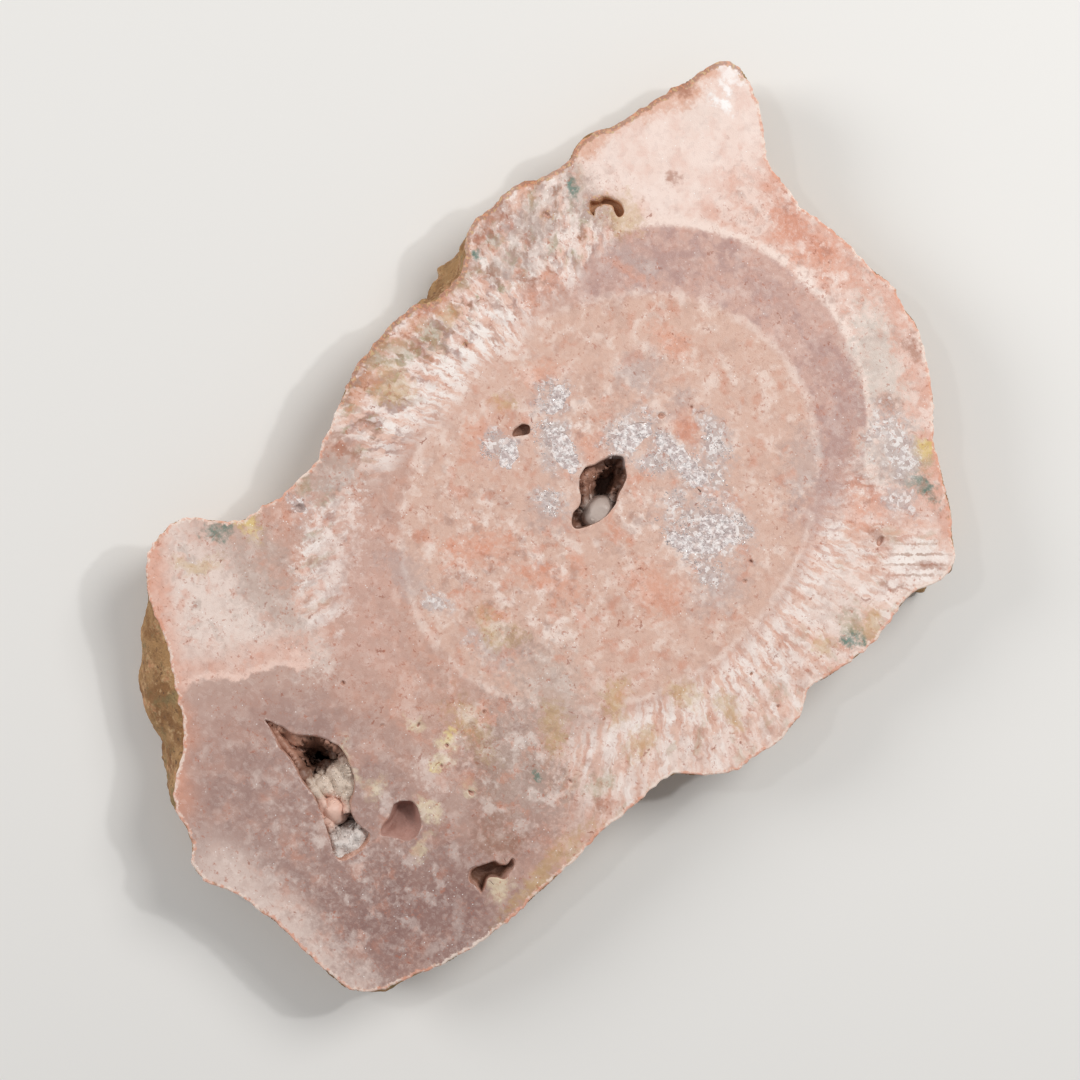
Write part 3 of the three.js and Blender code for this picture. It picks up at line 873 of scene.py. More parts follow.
# %% [markdown]
# The lower lobe is a second, dusky growth. A pale vein parts it from white stone on its left, and the
# skin beyond that is salmon. Each border is a straight line on the drawing, frayed by the warping.

# %% The lower lobe
right_of_vein = sawn.along_line(warped, (-30.0, -73.0), (0.852, -0.524))
lobe_zone = along.between(-46.0, -76.0) * right_of_vein.between(-1.5, 1.5)
lobe = sawn.layers(
    LOBE,
    (LOBE_DARK, drift.blend(cloud_dusk).between(0.47, 0.6) * (0.55 + across.between(0.0, 34.0) * 0.4)),
    (LOBE_WARM, veil.between(0.48, 0.62) * 0.4),
    (LOBE_PALE, haze.blend(cloud_light).between(0.48, 0.68) * 0.3),
    (LOBE_WARM, across.between(-8.0, -34.0) * 0.5),
    (LOBE_PALE, right_of_vein.between(11.0, 1.0) * 0.55))
sawn.paint(lobe, lobe_zone)
white_stone = sawn.layers(
    WHITE_PATCH,
    (GREY_PATCH, haze.blend(cloud_dusk).between(0.52, 0.64) * 0.6),
    (OUTER_PINK, cloud_warm.between(0.52, 0.66) * 0.4),
    (OUTER_PINK, right_of_vein.between(-11.0, -3.0) * 0.75))
sawn.paint(white_stone, right_of_vein.between(1.0, -2.5) * along.between(-50.0, -64.0))
vein = right_of_vein.between(-2.2, -0.4) * right_of_vein.between(1.9, 0.3)
sawn.paint(VEIN, vein * along.between(-54.0, -62.0) * along.between(-93.0, -86.0) * 0.9)
in_from_skin = sawn.along_line(warped, (-41.0, -93.4), (0.619, 0.786))
sawn.paint(SALMON, in_from_skin.between(9.0, 0.0) * across.between(-10.0, -24.0) * 0.75)
# Painted highlight: the bottom edge is painted white, for light shining through the thin edge of the stone.
bottom_edge_highlight = along.between(-101.0, -114.0) * across.between(-18.0, 4.0) * across.between(58.0, 44.0)
sawn.paint(WHITE_PATCH, bottom_edge_highlight * 0.75)
print("lower lobe done")

# %% [markdown]
# Iron, clay and moss stained the stone where water reached it. Each row has a colour, a strength and
# ellipses on the drawing: the place, the half width and height, and a turn in degrees. Noise frays the
# ellipses until they look like stains.

# %% Stains and patches
STAINS = [
    (LOBE_DARK, 0.75, [(38, -50, 17, 12, -30), (42, -78, 15, 13, -30)]),
    (LOBE_DEEP, 0.8, [(40, -93, 17, 12, 30), (47, -84, 8, 10)]),
    (BROWN, 0.65, [(28, -47, 7, 4, -30), (35, -53, 8, 3, -30), (42, -60, 5, 4), (36, -40, 5, 4)]),
    (LOBE_PALE, 0.6, [(30, -62, 5, 3, -30), (38, -50, 4, 2), (16, -58, 4, 2)]),
    (MAUVE_DARK, 0.75, [
        (17, 82, 8, 4, -15), (34, 71, 8, 4, -45), (40, 58, 5, 9, 15), (-37, 62, 5, 9, -15), (-5, 85, 9, 3),
        (-30, 72, 7, 4, 30)]),
    (MAUVE, 0.7, [(-28, -38, 9, 15, 30), (-14, -48, 9, 9)]),
    (SALMON, 0.8, [
        (-6, 100, 9, 3.5), (-12, 101, 3, 4), (52, 66, 7, 3, 15), (48, 61, 6, 3, -30), (37, 76, 2.5, 3),
        (-11, 25, 4, 3, 15), (20, 39, 5, 2.5, -15), (2, 46.5, 4, 3), (-47, 45, 3, 6), (8, 3, 3, 2),
        (-30, 8, 6, 5), (-35, 63, 5, 1.4, 15), (-14, 58, 6, 3, 15), (-32, 30, 5, 3, 45), (6, -5, 8, 3, 15),
        (-12, -12, 7, 4, 45), (26, 12, 7, 5)]),
    (GREY_PALE, 1.2, [(26, 91.5, 14, 5.5, -35), (44, 79, 8, 7, -30)]),
    (WHITE_PATCH, 0.8, [(21, -61, 4, 2.4), (-20, -60, 4, 3), (60, 40, 5, 6), (-50, 103, 5, 4)]),
    (GREY_PATCH, 0.75, [
        (46, 78, 4, 3, -30), (-58, 69, 7, 4), (-59, 55, 6, 7),
        (-44, -56.5, 17, 4.5, -9), (-50, -50, 6, 4), (-51, -25, 4, 7), (25, -24, 12, 8, -15),
        (30, -42, 14, 9, -30), (-55, 45, 6, 4)]),
    (SMOKE, 0.65, [
        (-15, 47, 5, 5), (11, 50, 5, 3, -15), (-2, 49, 3, 3), (-6, 7, 5, 4), (9, -26, 6, 5), (38, 24, 5, 8),
        (30, 60, 8, 4, -45), (-20, -30, 7, 4), (-36, 66, 6, 3, 20)]),
    (OCHRE, 0.7, [
        (-56, 2, 4, 4), (-56.5, -50, 4, 2.6), (-59, -64.5, 4.5, 1.8, 45), (50, -1, 4, 3, 30),
        (40, -15, 5, 3, -45), (62, 3, 4, 2), (6, -23, 5, 3), (18, -45, 7, 4, -15), (33, -30, 6, 3, -30),
        (-45, 72, 5, 4, 15), (50, 84, 3, 4, 15), (58, -58, 2, 14),
        (70, 44, 3, 4), (66, 32, 2.5, 2), (-34, 18, 2.4, 1.6), (-60, 24, 3, 3), (52, -18, 3, 3)]),
    (ORANGE, 0.7, [
        (-57.5, 106, 3.4, 7, -11), (-61, 97, 2.8, 8, -8), (-65, 86, 2.4, 6), (-65, 78, 2.4, 4),
        (-55, 114, 2.4, 3), (-66, 58, 1.6, 6), (-65, 38, 1.6, 7), (-63, 14, 1.6, 8), (-60, -4, 1.6, 6)]),
    (SALMON_DEEP, 0.75, [
        (-10, 101, 8, 2.5), (4, 46.5, 3, 2.4), (-64, 26, 4, 7),
        (-20, 106, 5, 2), (49, 68, 6, 1.4, 15)]),
    (RUST, 0.8, [
        (-59, 107, 2, 3), (-61, 37, 4, 1.5, 15), (-52, 33, 3, 1.2, 15), (55, -35.5, 2, 1.5), (-60, 12, 5, 1),
        (-66, 48, 2, 4), (30, 101, 4, 1.5, -30), (-52, -19, 3, 1.5, 15), (70, 64, 4, 1, 45),
        (66, 56, 4, 0.8, 15), (36, 86, 3, 2), (-44, 88, 2, 1.5), (57.5, 60.5, 3, 1.5), (-58, 52, 2, 1.2),
        (-50, 44, 2, 1)]),
    (OLIVE, 0.6, [
        (51, 82, 4, 3), (-62, 3, 2.5, 2.5), (-58, 16, 4, 2), (-61, 9, 4, 1.5, 15), (-63, 31, 2, 2),
        (51, -32, 3, 3), (-53, -32, 2, 3), (66, 40, 3, 2)]),
    (GOLD, 1.2, [(49.5, 85.5, 4, 2, 60), (-56.5, -50, 3, 1.6), (17, -51, 1.6, 1.2), (20.5, -58.5, 1.6, 1)]),
    (TEAL, 1.2, [
        (55.7, 76.9, 5, 2), (37, -41.5, 1.4, 0.8), (-60, -55, 3, 1.6), (-63, 40, 2, 1.5),
        (-59, 68.5, 2, 1.4), (69, 38, 2.4, 1.6, 30)]),
    (CREAM, 0.75, [
        (8.7, -53.8, 2.2, 1.9), (17.4, -52.6, 2, 2), (20, -57, 2, 2), (30, -56.5, 2.2, 1.8),
        (51, -69, 3, 3, 15), (26, -67, 3, 1.6), (30, -74, 1.4, 3), (4, -73, 5, 1.4, -30), (12, -74, 2, 3)]),
    (SUGAR_WHITE, 1.0, [(-47, 109, 3, 1.2, 20), (-49, 113, 2.4, 1, -20), (-51, 117, 4, 2)]),
]
for stain, strength, ellipses in STAINS:
    ragged = sawn.patches(warped, ellipses, 0.7, fray)
    sawn.paint(stain, ragged * strength * (0.3 + haze))
print(sum(len(row[2]) for row in STAINS), "stains")

# %% [markdown]
# Light, dusk and warmth lie over every zone in soft marks of several sizes. The disc's foot and the
# lower lobe have the most of them, and the pale peak has the least.

# %% Clouds
CLOUDY = [
    (-5, -12, 26, 14), (2, 28, 28, 14), (28, -46, 22, 14), (20, -90, 34, 24), (-55, 52, 10, 20),
    (-5, 98, 24, 6), (46, 76, 10, 14), (-40, -36, 12, 16),
]
cloudy = 0.4 + sawn.patches(swayed, CLOUDY, 0.6) * 0.65 - lobe_zone * 0.28
cloudy = cloudy - across.between(-34.0, -44.0) * along.between(76.0, 86.0) * 0.3
warm_marks = cloud_warm.blend(veil).between(0.53, 0.64)
sawn.paint(LIGHT_CLOUD, cloud_light.blend(haze).between(0.49, 0.64) * cloudy * 0.5)
sawn.paint(DUSK_CLOUD, cloud_dusk.blend(drift).between(0.5, 0.36) * cloudy * 0.45)
sawn.paint(WARM_CLOUD, warm_marks * (cloudy - lobe_zone * 0.2) * 0.4)
sawn.paint(LIGHT_CLOUD, crumb.between(0.5, 0.68) * cloudy * 0.16)
sawn.paint(DUSK_CLOUD, frost.between(0.47, 0.32) * cloudy * 0.16)
print("clouds done")

# %% [markdown]
# Round the druses the saw cut through a felt of tiny crystals. Each cell of a Voronoi pattern is one
# crystal: it has its own grey or white, and it tilts its own way, so that some of them catch the lamps.

# %% Sugary quartz round the druses
SUGAR = [
    (25, 31, 7, 9, 30), (22, 25, 8, 3, -10), (29, 37, 6, 4), (8, 39.5, 9, 3.4), (15, 42, 6, 4, -15),
    (-6, 35, 4, 7, -15), (-17, 20, 7, 4, -30), (-26, 28, 4, 5), (-27, 9, 4, 4), (11, 49, 6, 2.4, -15),
    (4, 34, 3, 4, -30), (-7, 9, 4, 3), (33, 25, 4, 4), (-10, -29, 3, 1.4), (3, -30, 2, 2),
    (43, 80, 8, 5, -30), (55, 71, 4, 3, -30), (-50, -37, 3, 2), (-3, 30, 3, 4), (14, 31, 3, 3),
]
RAISED_SUGAR = SUGAR[:12]
sugar_zone = sawn.patches(warped, SUGAR, 0.8, fray)
facet_cell = sawn.cells(place, 0.95)
facet_colour = sawn.also(facet_cell, "Color")
facet, facet_kind, facet_tint = sawn.channels(facet_colour)
from_facet = sawn.vector("SUBTRACT", place, sawn.also(facet_cell, "Position"))
facet_way = sawn.vector("MULTIPLY_ADD", facet_colour, (1.0, 1.0, 0.0), (-0.5, -0.5, 0.0))
facet_slope = sawn.dot(from_facet, facet_way)
sawn.paint(SUGAR_GREY, sugar_zone * 0.6)
crystals = sugar_zone.between(0.2, 0.9) * frost.blend(haze).between(0.4, 0.54)
sugar = sawn.layers(
    SUGAR_GREY,
    (SUGAR_WHITE, (facet * 0.5 + fleck * 0.8 - 0.15).between(0.42, 0.6) * 0.9),
    (SUGAR_DUSK, facet_tint.between(0.6, 0.8) * 0.6))
sawn.paint(sugar, crystals * 0.7)
sugar_relief = sawn.patches(place, RAISED_SUGAR, 0.6)
print("sugary zones done")

# %% [markdown]
# Close up the stone is peppered with rust dots, red specks and thread-thin veins, and here and there a grain
# that would mirror a lamp is painted in as a white glint, a painted highlight. The pale peak has few of them.

# %% Specks, veins and painted glints
dotted = sawn.cells(warped, 0.2)
dot_kind = sawn.channels(sawn.also(dotted, "Color"))[0]
dots = (dotted + (crumb - 0.5) * 0.2).between(0.1, 0.05) * dot_kind.between(0.84, 0.87)
sawn.paint(DOT_RED, dots * (0.2 + veil * 0.9))
on_peak = across.between(-26.0, -36.0) * along.between(72.0, 84.0)
red_specks = fleck.blend(grain, 0.85).between(0.585, 0.65) * haze.between(0.38, 0.54)
sawn.paint(SPECK_RED, red_specks * (1 - on_peak * 0.85) * 0.6)
threads = (drift - 0.5).math("ABSOLUTE").between(0.014, 0.003) * crumb.between(0.46, 0.6)
sawn.paint(THREAD_RED, threads * (1 - on_peak) * 0.4)
sawn.paint(LIGHT_CLOUD, facet.blend(grain).between(0.55, 0.8) * 0.13)
sawn.paint(DUSK_CLOUD, facet_kind.blend(grain).between(0.42, 0.2) * 0.1)
sparkle = sawn.cells(place, 1.7)
sparkle_kind = sawn.channels(sawn.also(sparkle, "Color"))[0]
sparse = sparkle_kind.between(0.984, 0.988) * haze.between(0.38, 0.56)
painted_glints = sparkle.between(0.3, 0.1) * sparse.larger(crystals * sparkle_kind.between(0.88, 0.92))
# Painted highlight: white spots in the base colour stand in for grains that glint.
sawn.paint(PAINTED_GLINT_WHITE, painted_glints * 0.85)
print("specks done")

# %% [markdown]
# The strip's attribute is 1 on the chipped outer edge, less on the rim of a hollow, and fades to 0 a
# little way into the face. The edge is painted pale there, a painted highlight for light shining through
# the edge of the stone, and the left side and the peak have a rusty crust.

# %% Edge: painted highlight and rusty crust
edge = sawn.node("ShaderNodeAttribute", {"attribute_name": "edge_share"}, {}, "Fac")
rusty_side = across.between(-44.0, -56.0) * along.between(-16.0, 4.0)
crusty = sawn.layers(
    RUST,
    (BROWN, fleck.between(0.4, 0.55)),
    (ORANGE, frost.between(0.5, 0.6)),
    (OCHRE, crumb.between(0.52, 0.64)))
# Painted highlight: the pale edge colour stands for light shining through the thin edge. The salmon and the
# rusty crust are the stone's own colours.
edge_highlight_and_crust = sawn.layers(
    PALE_EDGE_HIGHLIGHT,
    (SALMON, veil.blend(fleck).between(0.42, 0.58)),
    (crusty, (rusty_side * 1.3 + (cloud_warm - 0.5) * 2.4).between(0.15, 0.6) * 0.9))
edge_reach = 0.5 - rusty_side * 0.35
edge_zone = (edge - edge_reach + (crumb - 0.5) * 1.5).between(0.0, 0.35) * edge.between(0.0, 0.2)
sawn.paint(edge_highlight_and_crust, edge_zone * (0.8 - sugar_zone * 0.7))
print("worn edge done")

# %% [markdown]
# The face is sawn and not polished, so it is dull, with a faint grain. Only the crystals shine. Their
# tilts are a bump, so the flat face keeps its shape.

# %% Surface of the sawn face
shine = 0.4 + grain * 0.12 - crystals * 0.2
sawn.set(Base_Color=sawn.colour, Roughness=shine - painted_glints * 0.2, IOR=1.54)
relief = grain * 0.3 + sugar_relief * facet_slope * 1.6
sawn.set(Normal=sawn.bump(relief, 0.3, 0.0006))
print("sawn face finish has", len(sawn.tree.nodes), "nodes")

# %% [markdown]
# ## Rind and hollow walls
#
# The rind is the skin of the nodule: iron-brown and earthy, paler where it is chipped, and darkened in
# the low places of its bump, as painted shade in the pits.
# The hollow walls are pink like the face at their top, and are painted brown and then dark with depth:
# painted shade for the little light that gets there, along with the clay that stays in them.

# %% Rind
RIND_TAN, RIND_BROWN, RIND_CHIP = tone(178, 136, 90), tone(148, 104, 62), tone(214, 178, 134)
RIND_MOSS, RIND_PIT_SHADE, RIND_ORANGE = tone(128, 118, 80), tone(92, 62, 40), tone(206, 138, 98)
rind = Finish("iron_brown_rind", RIND_TAN)
rind_place = rind.drawing()
clay, moss, chips = rind.fields(rind_place, 0.14, 4.0, 0.62)
pitted, crust_grain, _ = rind.fields(rind_place, 0.75, 5.0, 0.7)
rind.paint(RIND_BROWN, clay.between(0.42, 0.6))
rind.paint(RIND_CHIP, chips.blend(pitted).between(0.52, 0.62) * 0.8)
rind.paint(RIND_MOSS, moss.between(0.52, 0.66) * 0.6)
# Painted shade: the low places of the bump are darkened as the pits.
rind.paint(RIND_PIT_SHADE, pitted.between(0.44, 0.32) * 0.8)
rind.paint(RIND_ORANGE, chips.blend(crust_grain, 0.6).between(0.54, 0.64) * 0.6)
rind.set(Base_Color=rind.colour, Roughness=0.6 + pitted * 0.3)
rind.set(Normal=rind.bump(pitted + crust_grain * 0.5, 0.8, 0.0008))
print("rind finish has", len(rind.tree.nodes), "nodes")

# %% Hollow walls
WALL_PINK, WALL_CLAY = tone(204, 164, 148), tone(180, 132, 112)
WALL_BROWN, WALL_DARK_SHADE = tone(126, 88, 68), tone(64, 42, 34)
LIT_WALLS = [
    (tone(206, 156, 116), [(-49.5, 70.5, 8, 7)]),
    (tone(168, 126, 116), [(24, -73.5, 7, 9)]),
    (tone(150, 108, 88), [(-25, 16.6, 6, 6)]),
    (tone(120, 86, 70), [(0, 19, 7, 12)]),
    (tone(190, 152, 136), [(10, -79, 10, 9)]),
    (SUGAR_GREY, SUGAR),
]
hollow = Finish("clay_and_shade_hollow_wall", WALL_PINK)
hollow_place = hollow.drawing()
wall_blotch, wall_grain, _ = hollow.fields(hollow_place, 0.6, 5.0, 0.68)
sunk = (THICKNESS / MM) - hollow.part(hollow_place, "Z")
hollow.paint(WALL_CLAY, wall_blotch.between(0.42, 0.6))
# Painted shade: the walls are painted brown from about 2 mm below the sawn face and dark past 6 mm, along
# with the clay.
hollow.paint(WALL_BROWN, (sunk + wall_grain * 3).between(2.2, 6.0) * 0.9)
hollow.paint(WALL_DARK_SHADE, (sunk + wall_blotch * 4).between(6.0, 12.0))
for stain, ellipses in LIT_WALLS:
    hollow.paint(stain, hollow.patches(hollow_place, ellipses, 0.2) * 0.8)
hollow.set(Base_Color=hollow.colour, Roughness=0.42 + wall_grain * 0.3)
hollow.set(Normal=hollow.bump(wall_blotch + wall_grain, 0.6, 0.0006))
print("hollow wall finish has", len(hollow.tree.nodes), "nodes")

# %% The dressed slice
stone_tree = BVHTree.FromBMesh(stone)
dressed = finished(stone, "amethyst_slice", [sawn.material, rind.material, hollow.material])
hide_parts("slice")
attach(dressed, "root")

# %% [markdown]
# ## Quartz in the hollows
#
# Each hollow is lined with a crust of quartz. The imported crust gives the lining. In a deep hollow its
# crystals are worn and coated, so the lining is cut finer and smoothed, rounded mounds stand up in it,
# and small points grow only on those mounds and on the bed. In the shallow druses near the middle the
# crust is packed with small points right up to the saw cut. A point is a six-sided prism with an uneven
# pyramid, and it is only grown where it has free space in front of it.

# %% Quartz finishes
def quartz(name, clear, colours, painted_shade_depths, stains=()):
    """Two finishes of one druse, milky base and clearer points. Deep down, both are darkened as painted
    shade, along with the clay.
    """
    finishes = []
    for kind, transmission, roughness, coat in (("base", 0.0, 0.42, 0.0), ("points", clear, 0.12, 1.0)):
        finish = Finish(f"{name}_{kind}", colours[0])
        where = finish.drawing()
        tint, stain, shine = finish.fields(where, 0.7, 3.0, 0.6)
        finish.paint(colours[1], tint.between(0.4, 0.58))
        finish.paint(colours[2], stain.between(0.52, 0.68) * 0.6)
        # Painted shade: with depth below the sawn face the fourth colour takes over and darkens the quartz.
        below = (THICKNESS / MM) - finish.part(where, "Z") + (stain - 0.5) * 8
        finish.paint(colours[3], below.between(*painted_shade_depths))
        for stained, strength, ellipses in stains:
            finish.paint(stained, finish.patches(where, ellipses, 0.3, tint - 0.5) * strength)
        finish.set(Base_Color=finish.colour, Roughness=roughness + shine * 0.12, IOR=1.544)
        finish.set(Transmission_Weight=transmission, Coat_Weight=coat, Coat_Roughness=0.04)
        finish.set(Normal=finish.bump(tint + shine, 0.4, 0.0004))
        finishes.append(finish.material)
    return finishes


WHITE_TONES = [tone(238, 231, 229), tone(194, 177, 174), tone(230, 210, 202), tone(196, 174, 166)]
BROWN_TONES = [tone(150, 112, 94), tone(124, 86, 70), tone(172, 140, 122), tone(84, 54, 42)]
LEDGE, BEIGE = tone(176, 130, 110), tone(212, 194, 178)
PIT_SHADE_BROWN, DEEP_BROWN_SHADE = tone(116, 82, 67), tone(134, 96, 79)
PINK_LUMP, SMOKE_LUMP, FROST_BED = tone(226, 188, 172), tone(186, 170, 161), tone(216, 206, 200)
# The void and deep brown patches are painted shade: dark brown laid where the hollows sink into the dark. The
# other rows are the colours of the ledges, lumps and bed.
WALL_TONES_AND_SHADE = [
    (LEDGE, 0.9, [(-12, -79.6, 9, 4), (-4.5, -73.4, 3.5, 2)]),
    (PIT_SHADE_BROWN, 0.95, [(-2.6, -78.2, 4.4, 4.6, 20)]),
    (DEEP_BROWN_SHADE, 0.9, [(13.2, -84.6, 2.2, 4, 25), (0, 19, 8, 13)]),
    (BEIGE, 0.95, [(6.6, -77.2, 6.2, 6.4), (3.4, -81.8, 4.4, 4)]),
    (PINK_LUMP, 0.95, [(8.8, -84.8, 4.6, 4.2)]),
    (FROST_BED, 0.95, [(18.4, -87.4, 6.0, 6.8)]),
    (LEDGE, 0.9, [(-5.7, 19.2, 2.6, 4.0)]),
    (SMOKE_LUMP, 0.95, [(3.2, 15.9, 4.4, 5.0)]),
]
WHITE_QUARTZ = quartz("sugar_quartz", 0.15, WHITE_TONES, (1.6, 4.0))
BROWN_QUARTZ = quartz("smoky_quartz", 0.1, BROWN_TONES, (6.0, 13.0), WALL_TONES_AND_SHADE)
print("quartz finishes ready")

# %% [markdown]
# A quartz point is a six-sided prism with a pyramid on it. A cone operator makes the prism, and poking
# its top face raises the pyramid. The tip leans a little, because real points are never even.

# %% One quartz point
POINT_PRISM, FOOT_RADIUS, SHOULDER_RADIUS, TIP_LEAN = 0.55, 0.5, 0.44, 0.1
crystal = bmesh.new()
bmesh.ops.create_cone(
    crystal, cap_ends=True, segments=6, radius1=FOOT_RADIUS, radius2=SHOULDER_RADIUS, depth=1.0)
bmesh.ops.translate(crystal, verts=crystal.verts, vec=(0, 0, 0.5))
top = max(crystal.faces, key=lambda face: face.calc_center_median().z)
bmesh.ops.scale(crystal, verts=crystal.verts, vec=(1, 1, POINT_PRISM))
bmesh.ops.poke(crystal, faces=[top], offset=1 - POINT_PRISM)
tip = max(crystal.verts, key=lambda vert: vert.co.z)
tip.co.x += TIP_LEAN
for face in crystal.faces:
    face.material_index = 1
print("a point has", len(crystal.faces), "faces")


def stand_point(mesh, foot, way, angle, width, height):
    """Adds a copy of the point to a mesh."""
    turn = way.to_track_quat("Z", "Y").to_matrix().to_4x4() @ Matrix.Rotation(angle, 4, "Z")
    size = Matrix.Diagonal((width, width, height, 1))
    point = crystal.copy()
    bmesh.ops.transform(point, matrix=Matrix.Translation(foot) @ turn @ size, verts=point.verts)
    moulded = bpy.data.meshes.new("moulded_point")
    point.to_mesh(moulded)
    point.free()
    mesh.from_mesh(moulded)
    bpy.data.meshes.remove(moulded)

# %% [markdown]
# The lining of a deep hollow is its packed crust, worn smooth, swollen and lowered near the saw cut. It
# sinks in pits, where the hollow goes on into the dark.

# %% Linings
# The wobble is noise that gives a pit a ragged outline.
LINING_EDGE, LINING_PASSES, LINING_SWELL = 1.0 * MM, 6, 1.1 * MM
LINING_ROUGHNESS = [(2.6, 0.7), (1.1, 0.3)]
DROP_FROM, DROP_VARIES, DROP_SIZE = 7.0 * MM, 0.8, 2.5 * MM
SINK, SINK_FLOOR, SINK_WOBBLE, WOBBLE_SIZE = 4.0 * MM, THICKNESS / 4, 1.6 * MM, 1.8 * MM


def is_in(spot, ellipses):
    """Whether a place lies in one of some ellipses on the drawing."""
    for x, y, wide, high, *_ in ellipses:
        away = spot - drawn(x, y)
        if (away.x / (wide * MM)) ** 2 + (away.y / (high * MM)) ** 2 < 1:
            return True
    return False


def fine_crust(node, longest, passes):
    crust = merged_copy(node)
    bmesh.ops.triangulate(crust, faces=crust.faces)
    refine(crust, longest, passes)
    return crust


def lining(node, drop, sinks):
    """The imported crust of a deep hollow, which ends unevenly below the sawn face."""
    crust = fine_crust(node, LINING_EDGE, 2)
    for _ in range(LINING_PASSES):
        soften(crust, crust.verts)
    crust.normal_update()
    for vert in crust.verts:
        vert.co += vert.normal * (LINING_SWELL + rough(vert.co, LINING_ROUGHNESS))
        share = max(0.0, 1 - (THICKNESS - vert.co.z) / DROP_FROM)
        vert.co.z -= drop * share * (1 + DROP_VARIES * noise.noise(vert.co / DROP_SIZE))
        wobble = noise.noise_vector(vert.co / WOBBLE_SIZE) * SINK_WOBBLE
        if is_in(vert.co + wobble, sinks):
            vert.co.z = max(vert.co.z - SINK, SINK_FLOOR)
    for face in crust.faces:
        face.smooth = True
    return crust


print("linings ready")

# %% [markdown]
# Rounded lumps of old quartz stand in the deep hollows. Each is an icosphere that reaches down into the
# lining, with noise in two sizes on it.

# %% Mounds
MOUND_FOOT, MOUND_GAP = 6 * MM, 0.9 * MM
LUMP_SIZE, KNOB_SIZE, KNOB_SHARE = 2.8, 1.2, 0.4


def mound(mesh, x, y, wide, high, top, lumpy):
    peak = THICKNESS - top * MM
    size = Matrix.Diagonal((wide * MM, high * MM, (peak - MOUND_FOOT) / 2, 1))
    middle = drawn(x, y) + Vector((0, 0, (peak + MOUND_FOOT) / 2))
    matrix = Matrix.Translation(middle) @ size
    ball = bmesh.ops.create_icosphere(mesh, subdivisions=4, radius=1.0, matrix=matrix)
    for vert in ball["verts"]:
        outward = (vert.co - middle).normalized()
        vert.co += outward * rough(vert.co, [(LUMP_SIZE, lumpy), (KNOB_SIZE, lumpy * KNOB_SHARE)])
        vert.co.z = min(vert.co.z, THICKNESS - MOUND_GAP)
        for face in vert.link_faces:
            face.smooth = True


print("mounds ready")

# %% [markdown]
# Small points cover the lumps. They are spread evenly over the area, and each leans its own way. One is
# left out where a wall is too close in front of it, or where its tip would pass the saw cut.

# %% Growing points on a crust
POINTS_PER_MM2, POINT_WIDTHS, POINT_TALL = 2.0, (0.35, 0.65), (0.5, 0.8)
WIDTH_SHARES = (0.6, 0.8, 1.0, 1.0, 1.5)
POINT_LEAN, UPWARDS, FREE_SPACE = 0.35, Vector((0, 0, 0.3)), 1.2 * MM
TOP_LIMIT = THICKNESS - 0.04 * MM


def spots_on(mesh, count, dice):
    """Places and normals spread evenly over the area of a mesh of triangles."""
    faces = list(mesh.faces)
    for face in dice.choices(faces, weights=[f.calc_area() for f in faces], k=count):
        a, b = sorted((dice.random(), dice.random()))
        first, second, third = (v.co for v in face.verts)
        yield first * a + second * (b - a) + third * (1 - b), face.normal.copy()


def grow_points(crust, seed, where):
    dice = random.Random(seed)
    crust.normal_update()
    count = round(sum(f.calc_area() for f in crust.faces) / MM ** 2 * POINTS_PER_MM2)
    grown = 0
    for spot, normal in list(spots_on(crust, count, dice)):
        lean = Vector([dice.gauss(0, POINT_LEAN) for _ in range(3)])
        width = dice.uniform(*POINT_WIDTHS) * MM * dice.choice(WIDTH_SHARES)
        height = width * dice.uniform(*POINT_TALL)
        angle = dice.uniform(0, math.tau)
        if normal.z < -0.1 or not is_in(spot, where):
            continue
        way = (normal + lean + UPWARDS).normalized()
        shoulder = way.z * height * POINT_PRISM + width / 2
        blocked = stone_tree.ray_cast(spot + normal * FREE_SPACE / 3, normal, FREE_SPACE)[0]
        if blocked or spot.z + max(way.z * height, shoulder) > TOP_LIMIT:
            continue
        stand_point(crust, spot - way * width * 0.4, way, angle, width, height)
        grown += 1
    print("  with", grown, "points")


def place_druse(crust, node, finishes):
    piece = finished(crust, node.replace("crust", "quartz"), finishes)
    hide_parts(node)
    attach(piece, "root")


print("points ready")

# %% The deep hollows
# Each row has a node, a seed, how far its lining drops, the pits it sinks in, its mounds, and where
# points grow. A mound is a place on the drawing, its half width and height, how far its top lies below
# the sawn face, and how lumpy it is.
DEEP_HOLLOWS = [
    ("lower_hollow_crust", 11, 2.2 * MM, [(-3.4, -77.0, 5.0, 3.8), (13.6, -84.0, 2.0, 2.6)],
     [(6.2, -77.3, 6.0, 5.8, 1.8, 1.0), (3.6, -81.6, 3.8, 3.2, 2.2, 0.8), (8.7, -84.7, 4.2, 4.0, 1.2, 0.3),
      (18.0, -87.4, 5.2, 6.0, 2.6, 0.8)],
     [(5.6, -77.8, 5.6, 5.6), (18.0, -87.4, 4.8, 5.6)]),
    ("middle_hollow_crust", 12, 4.5 * MM, [(-0.6, 23.5, 2.6, 4.6)],
     [(3.4, 15.6, 4.4, 5.0, 0.2, 0.35), (-5.7, 19.2, 2.2, 3.6, 1.6, 0.6)],
     [(-5.7, 19.2, 2.2, 3.6)]),
]
for node, seed, drop, sinks, mounds, where in DEEP_HOLLOWS:
    crust = lining(node, drop, sinks)
    for row in mounds:
        mound(crust, *row)
    grow_points(crust, seed, where)
    place_druse(crust, node, BROWN_QUARTZ)

# %% [markdown]
# A white druse is a nest of tiny points that the saw went through. Its packed crust is raised until it
# breaks through the sawn face in ragged patches. Points stand on it and, thinning out, in the sugary
# stone round it. They are sunk in, with only their tips out.

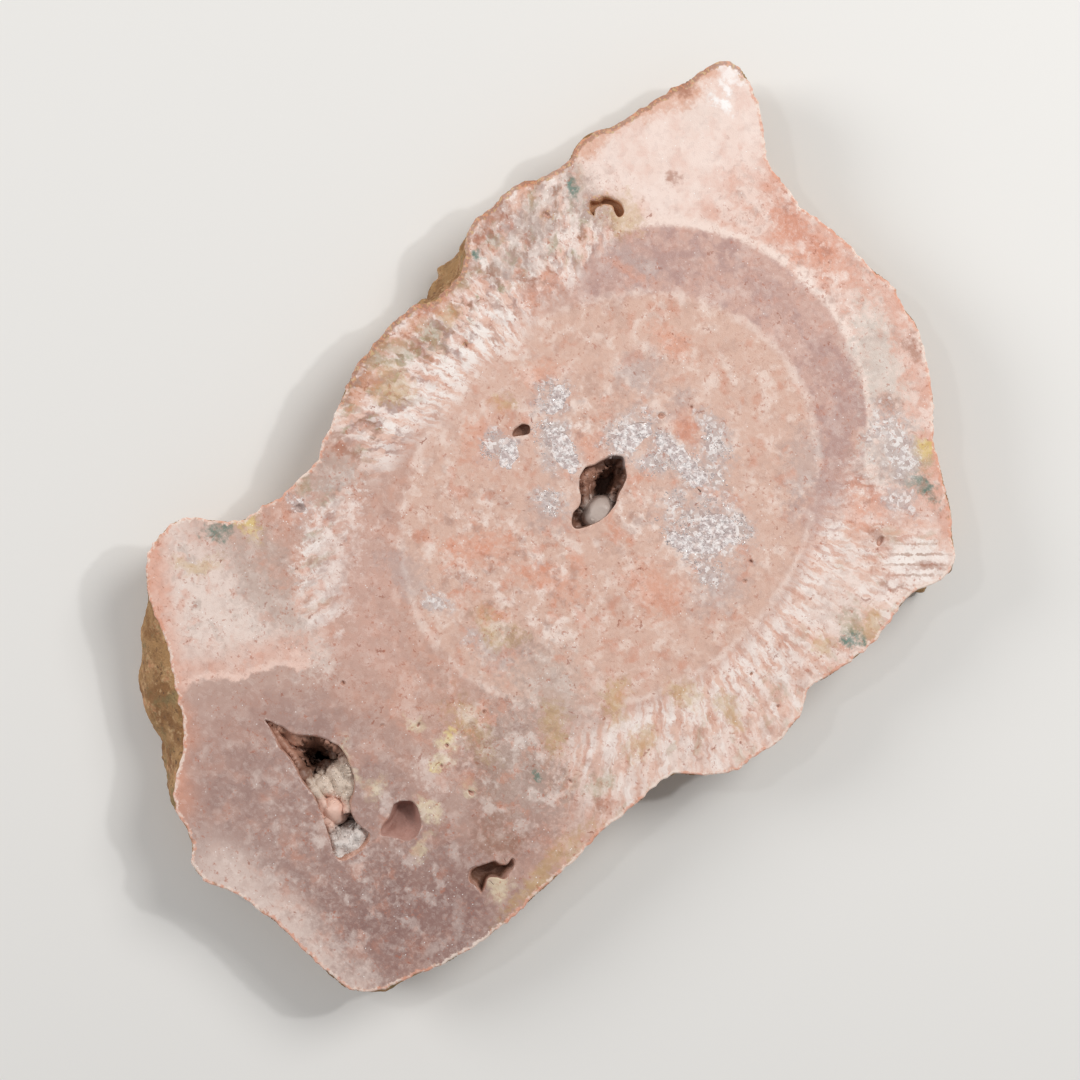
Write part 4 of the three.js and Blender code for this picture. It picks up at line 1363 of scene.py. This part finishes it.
# %% Beds and tiny points
BED_EDGE, BED_SWELL, BED_TOP, BED_DEPTH_SHARE = 0.6 * MM, 1.4 * MM, 0.12 * MM, 0.12
BED_ROUGHNESS = [(1.6, 0.3), (0.7, 0.2)]
FROST_WIDTHS, FROST_TALL, FROST_LEAN, FROST_OUT = (0.3, 0.8), (0.8, 1.3), 0.45, (0.08, 0.2)


def bed(node):
    """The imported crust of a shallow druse, raised to the sawn face."""
    crust = fine_crust(node, BED_EDGE, 3)
    crust.normal_update()
    for vert in crust.verts:
        vert.co += vert.normal * BED_SWELL
        raised = THICKNESS - BED_TOP - (THICKNESS - vert.co.z) * BED_DEPTH_SHARE
        vert.co.z = min(raised + rough(vert.co, BED_ROUGHNESS), THICKNESS + BED_TOP)
    crust.normal_update()
    return crust


def sow_frost(crust, spots, dice):
    """Stands tiny points in the sawn face."""
    for spot in spots:
        width = dice.uniform(*FROST_WIDTHS) * MM
        height = width * dice.uniform(*FROST_TALL)
        way = Vector((dice.gauss(0, FROST_LEAN), dice.gauss(0, FROST_LEAN), 1)).normalized()
        angle = dice.uniform(0, math.tau)
        foot = spot - way * (height - dice.uniform(*FROST_OUT) * MM)
        stand_point(crust, foot, way, angle, width, height)


print("beds ready")

# %% Where the frost lies
# Places are tried at random over the disc. One counts where the ground below it is the sawn face, noise
# makes a patch, and the stone is sugary. The nearest nest takes it.
WHITE_DRUSES = [
    "right_druse_crust", "upper_druse_crust", "upper_left_druse_crust", "left_druse_crust",
    "outer_druse_crust", "lower_left_druse_crust",
]
FROST_ACROSS, FROST_ALONG, FROST_TRIES = (-32, 37), (4, 53), 14000
FACE_BAND = 0.6 * MM
frost_dice = random.Random(30)
frost_spots = {node: [] for node in WHITE_DRUSES}
middles = {node: (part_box(node)[0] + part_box(node)[1]) / 2 for node in WHITE_DRUSES}
for _ in range(FROST_TRIES):
    above = drawn(frost_dice.uniform(*FROST_ACROSS), frost_dice.uniform(*FROST_ALONG))
    above.z = THICKNESS + 1 * MM
    spot = stone_tree.ray_cast(above, Vector((0, 0, -1)))[0]
    patchy = noise.noise(above / (2.2 * MM)) + 0.5 * noise.noise(above / (0.9 * MM))
    if spot and spot.z > THICKNESS - FACE_BAND and patchy > 0.0 and is_in(above, SUGAR):
        nearest = min(middles, key=lambda node: (middles[node] - above).xy.length)
        frost_spots[nearest].append(spot)
print(sum(len(spots) for spots in frost_spots.values()), "places for tiny points")

# %% The white druses
NEST_PER_MM2, FACING_UP = 4.0, 0.5
for node in WHITE_DRUSES:
    crust = bed(node)
    area = sum(f.calc_area() for f in crust.faces if f.normal.z > FACING_UP)
    tries = spots_on(crust, round(area / MM ** 2 * NEST_PER_MM2), frost_dice)
    nest = [spot for spot, normal in tries if normal.z > FACING_UP]
    sow_frost(crust, frost_spots[node] + nest, frost_dice)
    print("  with", len(frost_spots[node]), "points round it and", len(nest), "on it")
    place_druse(crust, node, WHITE_QUARTZ)
